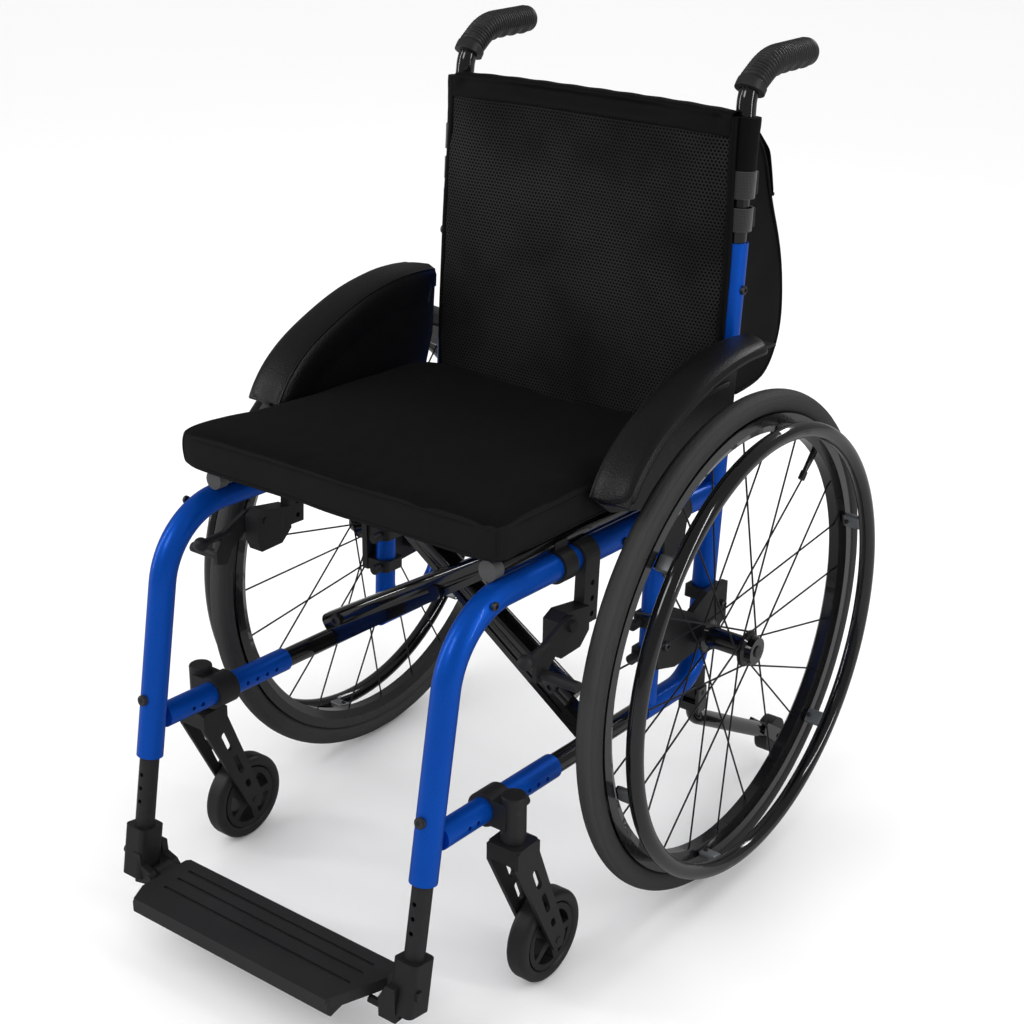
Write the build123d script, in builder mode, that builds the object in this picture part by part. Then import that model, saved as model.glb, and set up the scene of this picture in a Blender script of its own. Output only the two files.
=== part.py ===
"""Folding manual wheelchair with a cross brace, 24 inch rear wheels and a one-piece footplate.

Millimetres. +X is the user's left, the chair faces -Y, +Z is up. The origin is
on the floor, midway between the two sides and midway between the front of the
footplate and the back of the rear tyres. Every part of the user's left side is
made once and mirrored about the YZ plane for the right side.
"""
from build123d import *
import os
from math import atan2, cos, degrees, hypot, radians, sin, tan

os.makedirs("parts", exist_ok=True)

# ------------------------------------------------------------------ dimensions
# side frame
side_x = 198.5            # centre plane of each side frame
slope = 3.0               # rails drop towards the back by this angle
frame_d = 30.0            # front tube outside diameter
rear_d = 28.0             # rear tubes and lower rail outside diameter
wall = 2.0
post_y, post_z = -361.0, 107.0   # a point on the axis of the front post
post_lean = 0.183         # backwards lean of the post, run over rise
post_foot_z = 200.0       # lower end of the post
front_bend = 90.0         # centreline radius of the front bend
cane_y, cane_z = 173.0, 247.0    # a point on the axis of the rear upright
cane_lean = 0.0675
rear_top_z = 742.0        # upper end of the painted rear upright
rear_bend = 50.0
# rear wheel
axle_y, axle_z = 128.0, 298.0
wheel_x = 267.0
tyre_r, tyre_section = 298.0, 14.0
rim_bead_r = 270.0
handrim_x, handrim_r, handrim_tube = 308.0, 260.2, 9.5
spoke_count = 24
# caster
caster_x, stem_y = 228.0, -233.0
caster_y, caster_r = -176.0, 53.4
caster_half = 13.0
# cross brace and seat
seat_x, seat_lift = 190.0, 24.5  # seat rail from centre, and above the top tube
seat_rail_r = 10.0
brace_front_y = -84.0
brace_t, brace_w = 24.0, 18.0
cushion_half, cushion_front, cushion_back = 214.5, -253.0, 164.0
cushion_t = 50.0
# footplate
plate_front, plate_rear = -426.0, -336.0
plate_top = 75.0
plate_end = 162.0
hinge_x, hinge_z = -172.0, 66.0

t3 = tan(radians(slope))


def low_z(y):
    """Height of the lower rail axis."""
    return 228.5 - t3 * (y + 107)


def top_z(y):
    """Height of the top tube axis."""
    return 472.0 - t3 * (y + 188)


def post_at(z):
    return post_y + post_lean * (z - post_z)


def cane_at(z):
    return cane_y + cane_lean * (z - cane_z)


# where the post axis meets the top tube axis
corner_z = (472.0 - t3 * (post_y - post_lean * post_z + 188)) / (1 + t3 * post_lean)
corner_y = post_at(corner_z)
# where the rear upright meets the lower rail
heel_z = (228.5 - t3 * (cane_y - cane_lean * cane_z + 107)) / (1 + t3 * cane_lean)
heel_y = cane_at(heel_z)

rail_dir = Vector(0, cos(radians(slope)), -sin(radians(slope)))


def across(y):
    """Plane square to the rails, on the lower rail axis at y, facing forwards."""
    return Plane(origin=(0, y, low_z(y)), x_dir=(1, 0, 0), z_dir=-rail_dir)


seat_h = (top_z(0) + seat_lift - low_z(0)) * cos(radians(slope))
brace_angle = atan2(seat_h, side_x + seat_x)
pivot_h = side_x * tan(brace_angle)

pieces = {}


def keep(name, builder):
    builder.part.label = name
    pieces[name] = builder.part


# ------------------------------------------------------------------ side frame
with BuildPart() as front_tube:
    with BuildLine() as front_path:
        FilletPolyline(
            (side_x, post_at(post_foot_z), post_foot_z),
            (side_x, corner_y, corner_z),
            (side_x, 190, top_z(190)),
            radius=front_bend,
        )
    with BuildSketch(Plane(origin=front_path.line @ 0, z_dir=front_path.line % 0)):
        Circle(frame_d / 2)
        Circle(frame_d / 2 - wall, mode=Mode.SUBTRACT)
    sweep(path=front_path.line)
    # the back end is coped round the rear upright
    with BuildSketch(Plane(origin=(side_x, cane_at(400), 400), x_dir=(1, 0, 0), z_dir=(0, cane_lean, 1))):
        Circle(rear_d / 2)
    extrude(amount=140, mode=Mode.SUBTRACT)
    with BuildSketch(Plane(origin=(side_x, cane_at(400) + 60, 400), x_dir=(1, 0, 0), z_dir=(0, 0, 1))):
        Rectangle(60, 120)
    extrude(amount=140, mode=Mode.SUBTRACT)
    # bolt hole for the footrest tube
    with BuildSketch(Plane(origin=(side_x, post_at(268) - 30, 268 + 30 * post_lean), x_dir=(1, 0, 0), z_dir=(0, 1, -post_lean))):
        Circle(3.1)
    extrude(amount=60, mode=Mode.SUBTRACT)
keep("front_tube", front_tube)

with BuildPart() as rear_loop:
    with BuildLine() as rear_path:
        FilletPolyline(
            (side_x, 48, low_z(48)),
            (side_x, heel_y, heel_z),
            (side_x, cane_at(rear_top_z), rear_top_z),
            radius=rear_bend,
        )
    with BuildSketch(Plane(origin=rear_path.line @ 0, z_dir=rear_path.line % 0)):
        Circle(rear_d / 2)
        Circle(rear_d / 2 - 2.5, mode=Mode.SUBTRACT)
    sweep(path=rear_path.line)
keep("rear_loop", rear_loop)

front_up_lo = Vector(side_x, 61, low_z(61))
front_up_hi = Vector(side_x, 71, top_z(71))
front_up_dir = (front_up_hi - front_up_lo).normalized()
with BuildPart() as front_upright:
    with BuildSketch(Plane(origin=front_up_lo, x_dir=(1, 0, 0), z_dir=front_up_dir)):
        Circle(12.5)
        Circle(10.5, mode=Mode.SUBTRACT)
    extrude(amount=(front_up_hi - front_up_lo).length)
    # coped on the lower rail and on the top tube
    with BuildSketch(Plane(origin=(side_x, 20, low_z(20)), x_dir=(1, 0, 0), z_dir=rail_dir)):
        Circle(rear_d / 2)
    extrude(amount=90, mode=Mode.SUBTRACT)
    with BuildSketch(Plane(origin=(side_x, 20, top_z(20)), x_dir=(1, 0, 0), z_dir=rail_dir)):
        Circle(frame_d / 2)
    extrude(amount=110, mode=Mode.SUBTRACT)
keep("front_upright", front_upright)

core_r = 8.5
with BuildPart() as lower_rail:
    # painted front length, then the round core that the brace sleeve turns on
    with BuildSketch(Plane(origin=(side_x, -320, low_z(-320)), x_dir=(1, 0, 0), z_dir=rail_dir)):
        Circle(rear_d / 2)
    extrude(amount=(320 - 126) / cos(radians(slope)))
    with BuildSketch(Plane(origin=(side_x, -130, low_z(-130)), x_dir=(1, 0, 0), z_dir=rail_dir)):
        Circle(core_r)
    extrude(amount=212)
    # coped on the post
    with BuildSketch(Plane(origin=(side_x, post_at(150), 150), x_dir=(1, 0, 0), z_dir=(0, post_lean, 1))):
        Circle(frame_d / 2)
    extrude(amount=180, mode=Mode.SUBTRACT)
    with BuildSketch(Plane(origin=(side_x, post_at(150) - 40, 150), x_dir=(1, 0, 0), z_dir=(0, post_lean, 1))):
        Rectangle(60, 80)
    extrude(amount=180, mode=Mode.SUBTRACT)
    for step in range(6):
        hole_y = -286 + 14 * step if step < 2 else -200 + 16 * (step - 2)
        with BuildSketch(Plane(origin=(side_x - 20, hole_y, low_z(hole_y)), x_dir=(0, 1, 0), z_dir=(1, 0, 0))):
            Circle(2.6)
        extrude(amount=40, mode=Mode.SUBTRACT)
keep("lower_rail", lower_rail)


def saddle(y):
    """Plastic cradle clamped on the top tube, open upwards under the seat rail."""
    plane = Plane(origin=(0, y, top_z(y)), x_dir=(1, 0, 0), z_dir=-rail_dir)
    lift = seat_lift * cos(radians(slope))
    with BuildPart() as body:
        with BuildSketch(plane):
            with Locations((side_x, 0)):
                Circle(frame_d / 2 + 3.5)
            with Locations((seat_x - 4, lift / 2 + 1)):
                Rectangle(29, lift + 4)
            with Locations((side_x, 0)):
                Circle(frame_d / 2, mode=Mode.SUBTRACT)
            with Locations((seat_x, lift)):
                Circle(seat_rail_r + 0.4, mode=Mode.SUBTRACT)
            with Locations((seat_x, lift + 15)):
                Rectangle(2 * (seat_rail_r + 0.4), 30, mode=Mode.SUBTRACT)
        extrude(amount=11, both=True)
    return body


saddle_front = saddle(-121)
keep("saddle_front", saddle_front)
saddle_rear = saddle(101)
keep("saddle_rear", saddle_rear)

# --------------------------------------------------------------- cane and grip
bend_z = 893.0
with BuildPart() as back_cane:
    with BuildLine() as cane_path:
        FilletPolyline(
            (side_x, cane_at(640), 640),
            (side_x, cane_at(760), 760),
            (side_x - 6, cane_at(905) + 4, 905),
            (side_x - 4, 262, 931),
            (side_x - 3.5, 333, 931),
            radius=(100, 32, 60),
        )
    with BuildSketch(Plane(origin=cane_path.line @ 0, z_dir=cane_path.line % 0)):
        Circle(11)
        Circle(9, mode=Mode.SUBTRACT)
    sweep(path=cane_path.line)
keep("back_cane", back_cane)

with BuildPart() as push_grip:
    with BuildLine() as grip_path:
        FilletPolyline(
            (side_x, cane_at(640), 640),
            (side_x, cane_at(760), 760),
            (side_x - 6, cane_at(905) + 4, 905),
            (side_x - 4, 262, 931),
            (side_x - 3.5, 342, 931),
            radius=(100, 32, 60),
        )
    with BuildSketch(Plane(origin=grip_path.line @ 0, z_dir=grip_path.line % 0)):
        Circle(16.5)
        Circle(11.15, mode=Mode.SUBTRACT)
    sweep(path=grip_path.line)
    # only the stretch past the collar is grip
    split(bisect_by=Plane(origin=(side_x - 6, cane_at(900) + 3, 897), z_dir=(0, 0.35, 1)), keep=Keep.TOP)
    # closed end
    with BuildSketch(Plane(origin=(side_x - 3.5, 342, 931), x_dir=(1, 0, 0), z_dir=(0, -1, 0))):
        Circle(12)
    extrude(amount=8.5)
keep("push_grip", push_grip)

# ---------------------------------------------------------------- side guard
guard_x = 219.0
arch = [(-97, 541), (-80, 566), (-46, 594), (2, 617), (60, 636), (125, 645), (190, 642)]
with BuildPart() as side_guard:
    # flat panel beside the cushion, with a tongue down to the front upright
    with BuildSketch(Plane(origin=(guard_x - 1.5, 0, 0), x_dir=(0, 1, 0), z_dir=(1, 0, 0))):
        with BuildLine():
            top = Spline(*arch)
            Polyline(top @ 1, (190, 628), (184, 560), (166, 508), (102, 480), (88, 405), (70, 388), (54, 395), (46, 482), (-60, 512), top @ 0)
        make_face()
    extrude(amount=3)
    # mudguard flange turned outwards over the wheel
    with BuildSketch(Plane(origin=(guard_x - 1.5, 0, 0), x_dir=(0, 1, 0), z_dir=(1, 0, 0))):
        with BuildLine():
            top = Spline(*arch)
            low = Spline(*[(y + (1.6 if z < 600 else 0.6), z - (2.2 if z < 600 else 3.2)) for y, z in arch])
            Line(top @ 0, low @ 0)
            Line(top @ 1, low @ 1)
        make_face()
    extrude(amount=48)
    # boss to the upright
    with BuildSketch(Plane(origin=(guard_x - 7.5, 68, 404), x_dir=(0, 1, 0), z_dir=(1, 0, 0))):
        Circle(11)
    extrude(amount=7)
keep("side_guard", side_guard)

# ---------------------------------------------------------------- axle plate
with BuildPart() as axle_plate:
    with BuildSketch(Plane(origin=(side_x + 15, 0, 0), x_dir=(0, 1, 0), z_dir=(1, 0, 0))):
        Polygon((46, 282), (46, 345), (84, 345), (118, 326), (150, 340), (196, 338), (196, 290), (150, 272), (84, 270), align=None)
    extrude(amount=8)
    # clamps round both uprights
    for at_z in (290, 333):
        grip_at = front_up_lo + front_up_dir * ((at_z - front_up_lo.Z) / front_up_dir.Z)
        with BuildSketch(Plane(origin=grip_at, x_dir=(1, 0, 0), z_dir=front_up_dir)):
            with Locations((2, 0)):
                RectangleRounded(36, 34, 6)
            Circle(12.52, mode=Mode.SUBTRACT)
        extrude(amount=7, both=True)
        with BuildSketch(Plane(origin=(side_x, cane_at(at_z - 6), at_z - 6), x_dir=(1, 0, 0), z_dir=(0, cane_lean, 1))):
            with Locations((2, 0)):
                RectangleRounded(36, 38, 6)
            Circle(rear_d / 2, mode=Mode.SUBTRACT)
        extrude(amount=7, both=True)
    # receiver tube for the axle
    with BuildSketch(Plane(origin=(188, axle_y, axle_z), x_dir=(0, 1, 0), z_dir=(1, 0, 0))):
        Circle(13)
    extrude(amount=234 - 188)
    with BuildSketch(Plane(origin=(180, axle_y, axle_z), x_dir=(0, 1, 0), z_dir=(1, 0, 0))):
        Circle(6.4)
    extrude(amount=60, mode=Mode.SUBTRACT)
    # clamp bolts
    for at_z in (290, 333):
        with BuildSketch(Plane(origin=(side_x - 6, 34, at_z), x_dir=(1, 0, 0), z_dir=(0, 1, 0))):
            Circle(6)
        extrude(amount=16)
keep("axle_plate", axle_plate)

# ---------------------------------------------------------------- rear wheel
with BuildPart() as rear_tyre:
    with BuildSketch(Plane(origin=(wheel_x, axle_y, axle_z), x_dir=(1, 0, 0), z_dir=(0, 1, 0))):
        with Locations((0, -(tyre_r - tyre_section))):
            Circle(tyre_section)
        with Locations((0, -rim_bead_r / 2)):
            Rectangle(60, rim_bead_r + 6, mode=Mode.SUBTRACT)
    revolve(axis=Axis((wheel_x, axle_y, axle_z), (1, 0, 0)), revolution_arc=360)
keep("rear_tyre", rear_tyre)

with BuildPart() as rear_rim:
    with BuildSketch(Plane(origin=(wheel_x, axle_y, axle_z), x_dir=(1, 0, 0), z_dir=(0, 1, 0))):
        with BuildLine():
            Polyline((-12, -(rim_bead_r + 2.8)), (-12, -261), (-6.5, -251), (6.5, -251), (12, -261), (12, -(rim_bead_r + 2.8)), (10, -(rim_bead_r + 2.8)), (9, -263), (-9, -263), (-10, -(rim_bead_r + 2.8)), close=True)
        make_face()
    revolve(axis=Axis((wheel_x, axle_y, axle_z), (1, 0, 0)), revolution_arc=360)
    # valve
    with BuildSketch(Plane(origin=(wheel_x, axle_y, axle_z), x_dir=(1, 0, 0), z_dir=(0, cos(radians(47)), sin(radians(47))))):
        Circle(3)
    extrude(amount=252, mode=Mode.ADD)
    with BuildSketch(Plane(origin=(wheel_x, axle_y, axle_z), x_dir=(1, 0, 0), z_dir=(0, cos(radians(47)), sin(radians(47))))):
        Circle(4)
    extrude(amount=222, mode=Mode.SUBTRACT)
keep("rear_rim", rear_rim)

hub_in, hub_out = 237.0, 292.0
with BuildPart() as rear_hub:
    with BuildSketch(Plane(origin=(0, axle_y, axle_z), x_dir=(1, 0, 0), z_dir=(0, -1, 0))):
        with BuildLine():
            Polyline(
                (188, 0), (188, 6.35), (235, 6.35), (235, 14), (hub_in, 19), (hub_in + 3, 19), (hub_in + 5, 12.5),
                (hub_out - 8, 12.5), (hub_out - 4, 20), (hub_out, 20), (hub_out + 3, 17), (303, 16), (303, 7), (294, 7), (294, 0), close=True)
        make_face()
    revolve(axis=Axis((0, axle_y, axle_z), (1, 0, 0)), revolution_arc=360)
keep("rear_hub", rear_hub)

with BuildPart() as axle_button:
    with BuildSketch(Plane(origin=(298, axle_y, axle_z), x_dir=(0, 1, 0), z_dir=(1, 0, 0))):
        Circle(6.93)
    extrude(amount=7)
    fillet(axle_button.faces().sort_by(Axis.X)[-1].edges(), 1.0)
keep("axle_button", axle_button)

with BuildPart() as rear_spokes:
    for n in range(spoke_count):
        a0 = 360 / spoke_count * n
        outer = n % 2 == 0
        flange_x = hub_out - 2 if outer else hub_in + 1.5
        lead = 62 if (n // 2) % 2 == 0 else -62
        a1 = radians(a0 + lead)
        a2 = radians(a0)
        r1 = 21.3 if outer else 20.3
        p = Vector(flange_x, axle_y + r1 * cos(a1), axle_z + r1 * sin(a1))
        q = Vector(wheel_x, axle_y + 250.6 * cos(a2), axle_z + 250.6 * sin(a2))
        with BuildSketch(Plane(origin=p, z_dir=(q - p))):
            Circle(1.1)
        extrude(amount=(q - p).length)
    # the spoke heads sit in a ring round each flange
    for x0, r0 in ((hub_in + 0.4, 19.05), (hub_out - 3.1, 20.05)):
        with BuildSketch(Plane(origin=(x0, axle_y, axle_z), x_dir=(0, 1, 0), z_dir=(1, 0, 0))):
            Circle(r0 + 1.6)
            Circle(r0, mode=Mode.SUBTRACT)
        extrude(amount=2.2)
keep("rear_spokes", rear_spokes)

with BuildPart() as handrim:
    with BuildSketch(Plane(origin=(handrim_x, axle_y, axle_z), x_dir=(1, 0, 0), z_dir=(0, 1, 0))):
        with Locations((0, -handrim_r)):
            Circle(handrim_tube)
    revolve(axis=Axis((handrim_x, axle_y, axle_z), (1, 0, 0)), revolution_arc=360)
    # six flat tabs to the rim
    for n in range(6):
        a = radians(60 * n + 17)
        with BuildSketch(Plane(origin=(wheel_x + 11.8, axle_y + 256 * cos(a), axle_z + 256 * sin(a)), x_dir=(0, -sin(a), cos(a)), z_dir=(1, 0, 0))):
            Rectangle(16, 5)
        extrude(amount=handrim_x - wheel_x - 16)
keep("handrim", handrim)

# -------------------------------------------------------------------- caster
stem_r = 6.0
with BuildPart() as caster_housing:
    with BuildSketch(Plane.XY.offset(204.5)):
        with Locations((caster_x, stem_y)):
            Circle(13.5)
    extrude(amount=54)
    fillet(caster_housing.faces().sort_by(Axis.Z)[-1].edges(), 2.0)
    # clamp on the lower rail
    with BuildSketch(Plane(origin=(0, stem_y, low_z(stem_y)), x_dir=(1, 0, 0), z_dir=-rail_dir)):
        with Locations((side_x, 0)):
            Circle(19)
        with Locations(((side_x + caster_x) / 2 + 2, 0)):
            Rectangle(26, 30)
    extrude(amount=15, both=True)
    with BuildSketch(Plane(origin=(0, stem_y, low_z(stem_y)), x_dir=(1, 0, 0), z_dir=-rail_dir)):
        with Locations((side_x, 0)):
            Circle(rear_d / 2)
    extrude(amount=30, both=True, mode=Mode.SUBTRACT)
    # clamp bolt with its knob behind the housing
    with BuildSketch(Plane(origin=(caster_x - 8, stem_y + 10, low_z(stem_y)), x_dir=(1, 0, 0), z_dir=(0, 1, 0))):
        Circle(7)
    extrude(amount=20)
    with BuildSketch(Plane.XY.offset(200)):
        with Locations((caster_x, stem_y)):
            Circle(stem_r + 0.05)
    extrude(amount=52, mode=Mode.SUBTRACT)
keep("caster_housing", caster_housing)

blade_dir = Vector(0, caster_y - stem_y, caster_r - 186.0)
with BuildPart() as caster_fork:
    # stem
    with BuildSketch(Plane.XY.offset(190)):
        with Locations((caster_x, stem_y)):
            Circle(stem_r)
    extrude(amount=61)
    # crown
    with BuildSketch(Plane.XY.offset(184)):
        with Locations((caster_x, stem_y)):
            RectangleRounded(41, 38, 6)
    extrude(amount=20)
    # blades, tapering down to the wheel axle
    for side in (-1, 1):
        with BuildSketch(Plane(origin=(caster_x + side * 18 - 2.5, 0, 0), x_dir=(0, 1, 0), z_dir=(1, 0, 0))):
            with BuildLine():
                Polyline((stem_y - 19, 202), (stem_y + 19, 202), (stem_y + 19, 188), (caster_y + 13, caster_r + 4), (caster_y + 8, caster_r - 11),
                         (caster_y - 6, caster_r - 11), (caster_y - 12, caster_r), (stem_y - 19, 182), close=True)
            make_face()
            # two long slots and one short
            for f, ln in ((0.24, 30), (0.53, 30), (0.78, 12)):
                with Locations(Location((stem_y + 2 + (caster_y - stem_y) * f, 186 + (caster_r - 186) * f), -68.0)):
                    SlotOverall(ln, 8.5 - 1.5 * f, mode=Mode.SUBTRACT)
        extrude(amount=5)
    # wheel axle
    with BuildSketch(Plane(origin=(caster_x - 21.5, caster_y, caster_r), x_dir=(0, 1, 0), z_dir=(1, 0, 0))):
        Circle(4)
    extrude(amount=43)
keep("caster_fork", caster_fork)

with BuildPart() as caster_hub:
    with BuildSketch(Plane(origin=(caster_x - 11, caster_y, caster_r), x_dir=(0, 1, 0), z_dir=(1, 0, 0))):
        Circle(39)
        Circle(32, mode=Mode.SUBTRACT)
        with PolarLocations(0, 5):
            with Locations((21, 0)):
                Rectangle(26, 9)
        Circle(11)
        Circle(4.05, mode=Mode.SUBTRACT)
    extrude(amount=22)
    with BuildSketch(Plane(origin=(caster_x - 15, caster_y, caster_r), x_dir=(0, 1, 0), z_dir=(1, 0, 0))):
        Circle(8)
        Circle(4.05, mode=Mode.SUBTRACT)
    extrude(amount=30)
keep("caster_hub", caster_hub)

with BuildPart() as caster_tyre:
    with BuildSketch(Plane(origin=(caster_x, caster_y, caster_r), x_dir=(1, 0, 0), z_dir=(0, 1, 0))):
        with Locations((0, -(39 + caster_r) / 2)):
            RectangleRounded(2 * caster_half, caster_r - 39, 6.5)
        with Locations((0, -20)):
            Rectangle(40, 38.0, mode=Mode.SUBTRACT)
    revolve(axis=Axis((caster_x, caster_y, caster_r), (1, 0, 0)), revolution_arc=360)
keep("caster_tyre", caster_tyre)

# --------------------------------------------------------------------- brake
brake_py, brake_pz = -140.0, 415.0
with BuildPart() as brake_body:
    plane = Plane(origin=(0, -85, top_z(-85)), x_dir=(1, 0, 0), z_dir=-rail_dir)
    with BuildSketch(plane):
        with Locations((side_x, 0)):
            Circle(19)
        with Locations((side_x + 12.5, -36)):
            Rectangle(13, 72)
        with Locations((side_x, 0)):
            Circle(frame_d / 2, mode=Mode.SUBTRACT)
        with Locations((seat_x, seat_lift * cos(radians(slope)))):
            Circle(seat_rail_r + 1.5, mode=Mode.SUBTRACT)
    extrude(amount=13, both=True)
    # perforated plate
    with BuildSketch(Plane(origin=(side_x, -85, 0), x_dir=(0, 1, 0), z_dir=(1, 0, 0))):
        with Locations((0, 404), (0, 422), (0, 440)):
            Circle(3.2)
    extrude(amount=40, mode=Mode.SUBTRACT)
    # lever block, in front of the plate
    with BuildSketch(Plane(origin=(side_x + 5, 0, 0), x_dir=(0, 1, 0), z_dir=(1, 0, 0))):
        Polygon((-98, 420), (-98, 392), (-114, 378), (-148, 378), (-154, 392), (-154, 422), (-140, 428), align=None)
    extrude(amount=20)
    with BuildSketch(Plane(origin=(side_x, brake_py, brake_pz), x_dir=(0, 1, 0), z_dir=(1, 0, 0))):
        Circle(4.05)
    extrude(amount=40, mode=Mode.SUBTRACT)
keep("brake_body", brake_body)

with BuildPart() as brake_lever:
    # arm from the pivot to the shoe, and forwards to the handle
    with BuildSketch(Plane(origin=(side_x + 26, 0, 0), x_dir=(0, 1, 0), z_dir=(1, 0, 0))):
        with BuildLine():
            Polyline((-130, 418), (-136, 425), (-150, 425), (-186, 412), (-200, 390), (-200, 374), (-184, 370), (-176, 384), (-150, 402), (-133, 406), close=True)
        make_face()
    extrude(amount=5)
    # pivot pin
    with BuildSketch(Plane(origin=(side_x + 4, brake_py, brake_pz), x_dir=(0, 1, 0), z_dir=(1, 0, 0))):
        Circle(4)
    extrude(amount=27)
    with BuildSketch(Plane(origin=(side_x + 31, brake_py, brake_pz), x_dir=(0, 1, 0), z_dir=(1, 0, 0))):
        Circle(6.5)
    extrude(amount=4)
    # shoe across the front of the tyre
    with BuildSketch(Plane(origin=(side_x + 26, -190, 380), x_dir=(0, 1, 0), z_dir=(1, 0, 0))):
        Circle(6)
    extrude(amount=50)
    # handle
    with BuildSketch(Plane(origin=(side_x + 28.5, -176, 408), x_dir=(1, 0, 0), z_dir=(0.06, -1, -0.06))):
        Circle(4.5)
    extrude(amount=42)
    with Locations((side_x + 31.2, -219, 405.4)):
        Sphere(8.5)
keep("brake_lever", brake_lever)

# ------------------------------------------------------------------ footrest
foot_dir = Vector(0, post_lean, 1).normalized()
with BuildPart() as footrest_tube:
    with BuildSketch(Plane(origin=(side_x, post_at(64), 64), x_dir=(1, 0, 0), z_dir=foot_dir)):
        Circle(11)
        Circle(9, mode=Mode.SUBTRACT)
    extrude(amount=250)
    # adjusting holes, front to back
    for at_z in (152, 168, 184):
        with BuildSketch(Plane(origin=(side_x, post_at(at_z) - 30, at_z), x_dir=(1, 0, 0), z_dir=(0, 1, -post_lean))):
            Circle(2.6)
        extrude(amount=60, mode=Mode.SUBTRACT)
    # bolt through the post
    with BuildSketch(Plane(origin=(side_x, post_at(268) - 15.5, 268 + 15.5 * post_lean), x_dir=(1, 0, 0), z_dir=(0, 1, -post_lean))):
        Circle(3)
    extrude(amount=32)
    with BuildSketch(Plane(origin=(side_x, post_at(268) - 15.1, 268 + 15.1 * post_lean), x_dir=(1, 0, 0), z_dir=(0, -1, post_lean))):
        Circle(6)
    extrude(amount=3.5)
keep("footrest_tube", footrest_tube)

# saddle side bracket: a collar on the tube with a lug that carries the plate's free end
with BuildPart() as bracket_left:
    with BuildSketch(Plane(origin=(side_x, post_at(58), 58), x_dir=(1, 0, 0), z_dir=foot_dir)):
        RectangleRounded(31, 34, 7)
    extrude(amount=60)
    with BuildSketch(Plane(origin=(0, -346, 0), x_dir=(1, 0, 0), z_dir=(0, -1, 0))):
        Polygon((173.5, 50), (173.5, 74), (184, 92), (196, 92), (196, 50), align=None)
    extrude(amount=42)
    with BuildSketch(Plane(origin=(side_x, post_at(50), 50), x_dir=(1, 0, 0), z_dir=foot_dir)):
        Circle(11)
    extrude(amount=80, mode=Mode.SUBTRACT)
    # peg under the plate
    with BuildSketch(Plane(origin=(152, -376, 54), x_dir=(0, 1, 0), z_dir=(1, 0, 0))):
        Circle(4.5)
    extrude(amount=24)
    # end cap and clamp screw
    with BuildSketch(Plane(origin=(side_x + 15, -372, 84), x_dir=(0, 1, 0), z_dir=(1, 0, 0))):
        Circle(5.5)
    extrude(amount=3.5)
bracket_left.part.label = "footrest_bracket_left"

# hinge side bracket: the same collar with two ears for the hinge pin
with BuildPart() as bracket_right:
    with BuildSketch(Plane(origin=(-side_x, post_at(58), 58), x_dir=(1, 0, 0), z_dir=foot_dir)):
        RectangleRounded(31, 34, 7)
    extrude(amount=60)
    for y0 in (-340, -374):
        with BuildSketch(Plane(origin=(0, y0, 0), x_dir=(1, 0, 0), z_dir=(0, -1, 0))):
            with BuildLine():
                Polyline((-196, 52), (-170, 57.5), (-164, 66), (-170, 73.5), (-184, 78), (-185, 92), (-196, 92), close=True)
            make_face()
        extrude(amount=8)
    with BuildSketch(Plane(origin=(-side_x, post_at(50), 50), x_dir=(1, 0, 0), z_dir=foot_dir)):
        Circle(11)
    extrude(amount=80, mode=Mode.SUBTRACT)
    # hinge pin
    with BuildSketch(Plane(origin=(hinge_x, -339, hinge_z), x_dir=(1, 0, 0), z_dir=(0, -1, 0))):
        Circle(4)
    extrude(amount=44)
    with BuildSketch(Plane(origin=(-side_x - 15, -372, 84), x_dir=(0, 1, 0), z_dir=(-1, 0, 0))):
        Circle(5.5)
    extrude(amount=3.5)
bracket_right.part.label = "footrest_bracket_right"

with BuildPart() as footplate:
    with BuildSketch(Plane.XY.offset(plate_top - 14)):
        Polygon((-156, -340), (-158, -426 + 22), (-148, plate_front), (plate_end - 26, plate_front), (plate_end, -360), (plate_end - 4, plate_rear), (-152, plate_rear), align=None)
    extrude(amount=14)
    # thick front lip, rounded down
    with BuildSketch(Plane(origin=(-150, 0, 0), x_dir=(0, 1, 0), z_dir=(1, 0, 0))):
        with BuildLine():
            Polyline((plate_front, 70), (plate_front + 5, plate_top), (plate_front + 30, plate_top), (plate_front + 26, 56), (plate_front + 5, 52), (plate_front, 57), close=True)
        make_face()
    extrude(amount=plate_end - 24 + 150)
    # three long grooves
    for gy in (-353, -370, -390):
        with BuildSketch(Plane.XY.offset(plate_top - 2.5)):
            with Locations((0, gy)):
                SlotOverall(276, 4)
        extrude(amount=5, mode=Mode.SUBTRACT)
    # hinge knuckle between the ears
    with BuildSketch(Plane(origin=(0, -349.5, 0), x_dir=(1, 0, 0), z_dir=(0, -1, 0))):
        with Locations((hinge_x, hinge_z)):
            Circle(8.5)
        with Locations(((hinge_x - 152) / 2, hinge_z + 1)):
            Rectangle(abs(hinge_x + 152), 12)
        with Locations((hinge_x, hinge_z)):
            Circle(4.05, mode=Mode.SUBTRACT)
    extrude(amount=23)
    # clear of the ears
    with BuildSketch(Plane(origin=(0, -330, 0), x_dir=(1, 0, 0), z_dir=(0, -1, 0))):
        with Locations((hinge_x, hinge_z)):
            Circle(11)
    extrude(amount=19.2, mode=Mode.SUBTRACT)
    with BuildSketch(Plane(origin=(0, -372.8, 0), x_dir=(1, 0, 0), z_dir=(0, -1, 0))):
        with Locations((hinge_x, hinge_z)):
            Circle(11)
    extrude(amount=60, mode=Mode.SUBTRACT)
footplate.part.label = "footplate"

# ------------------------------------------------------- cross brace and rails
rail_front, rail_back = -218.0, 150.0


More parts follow.
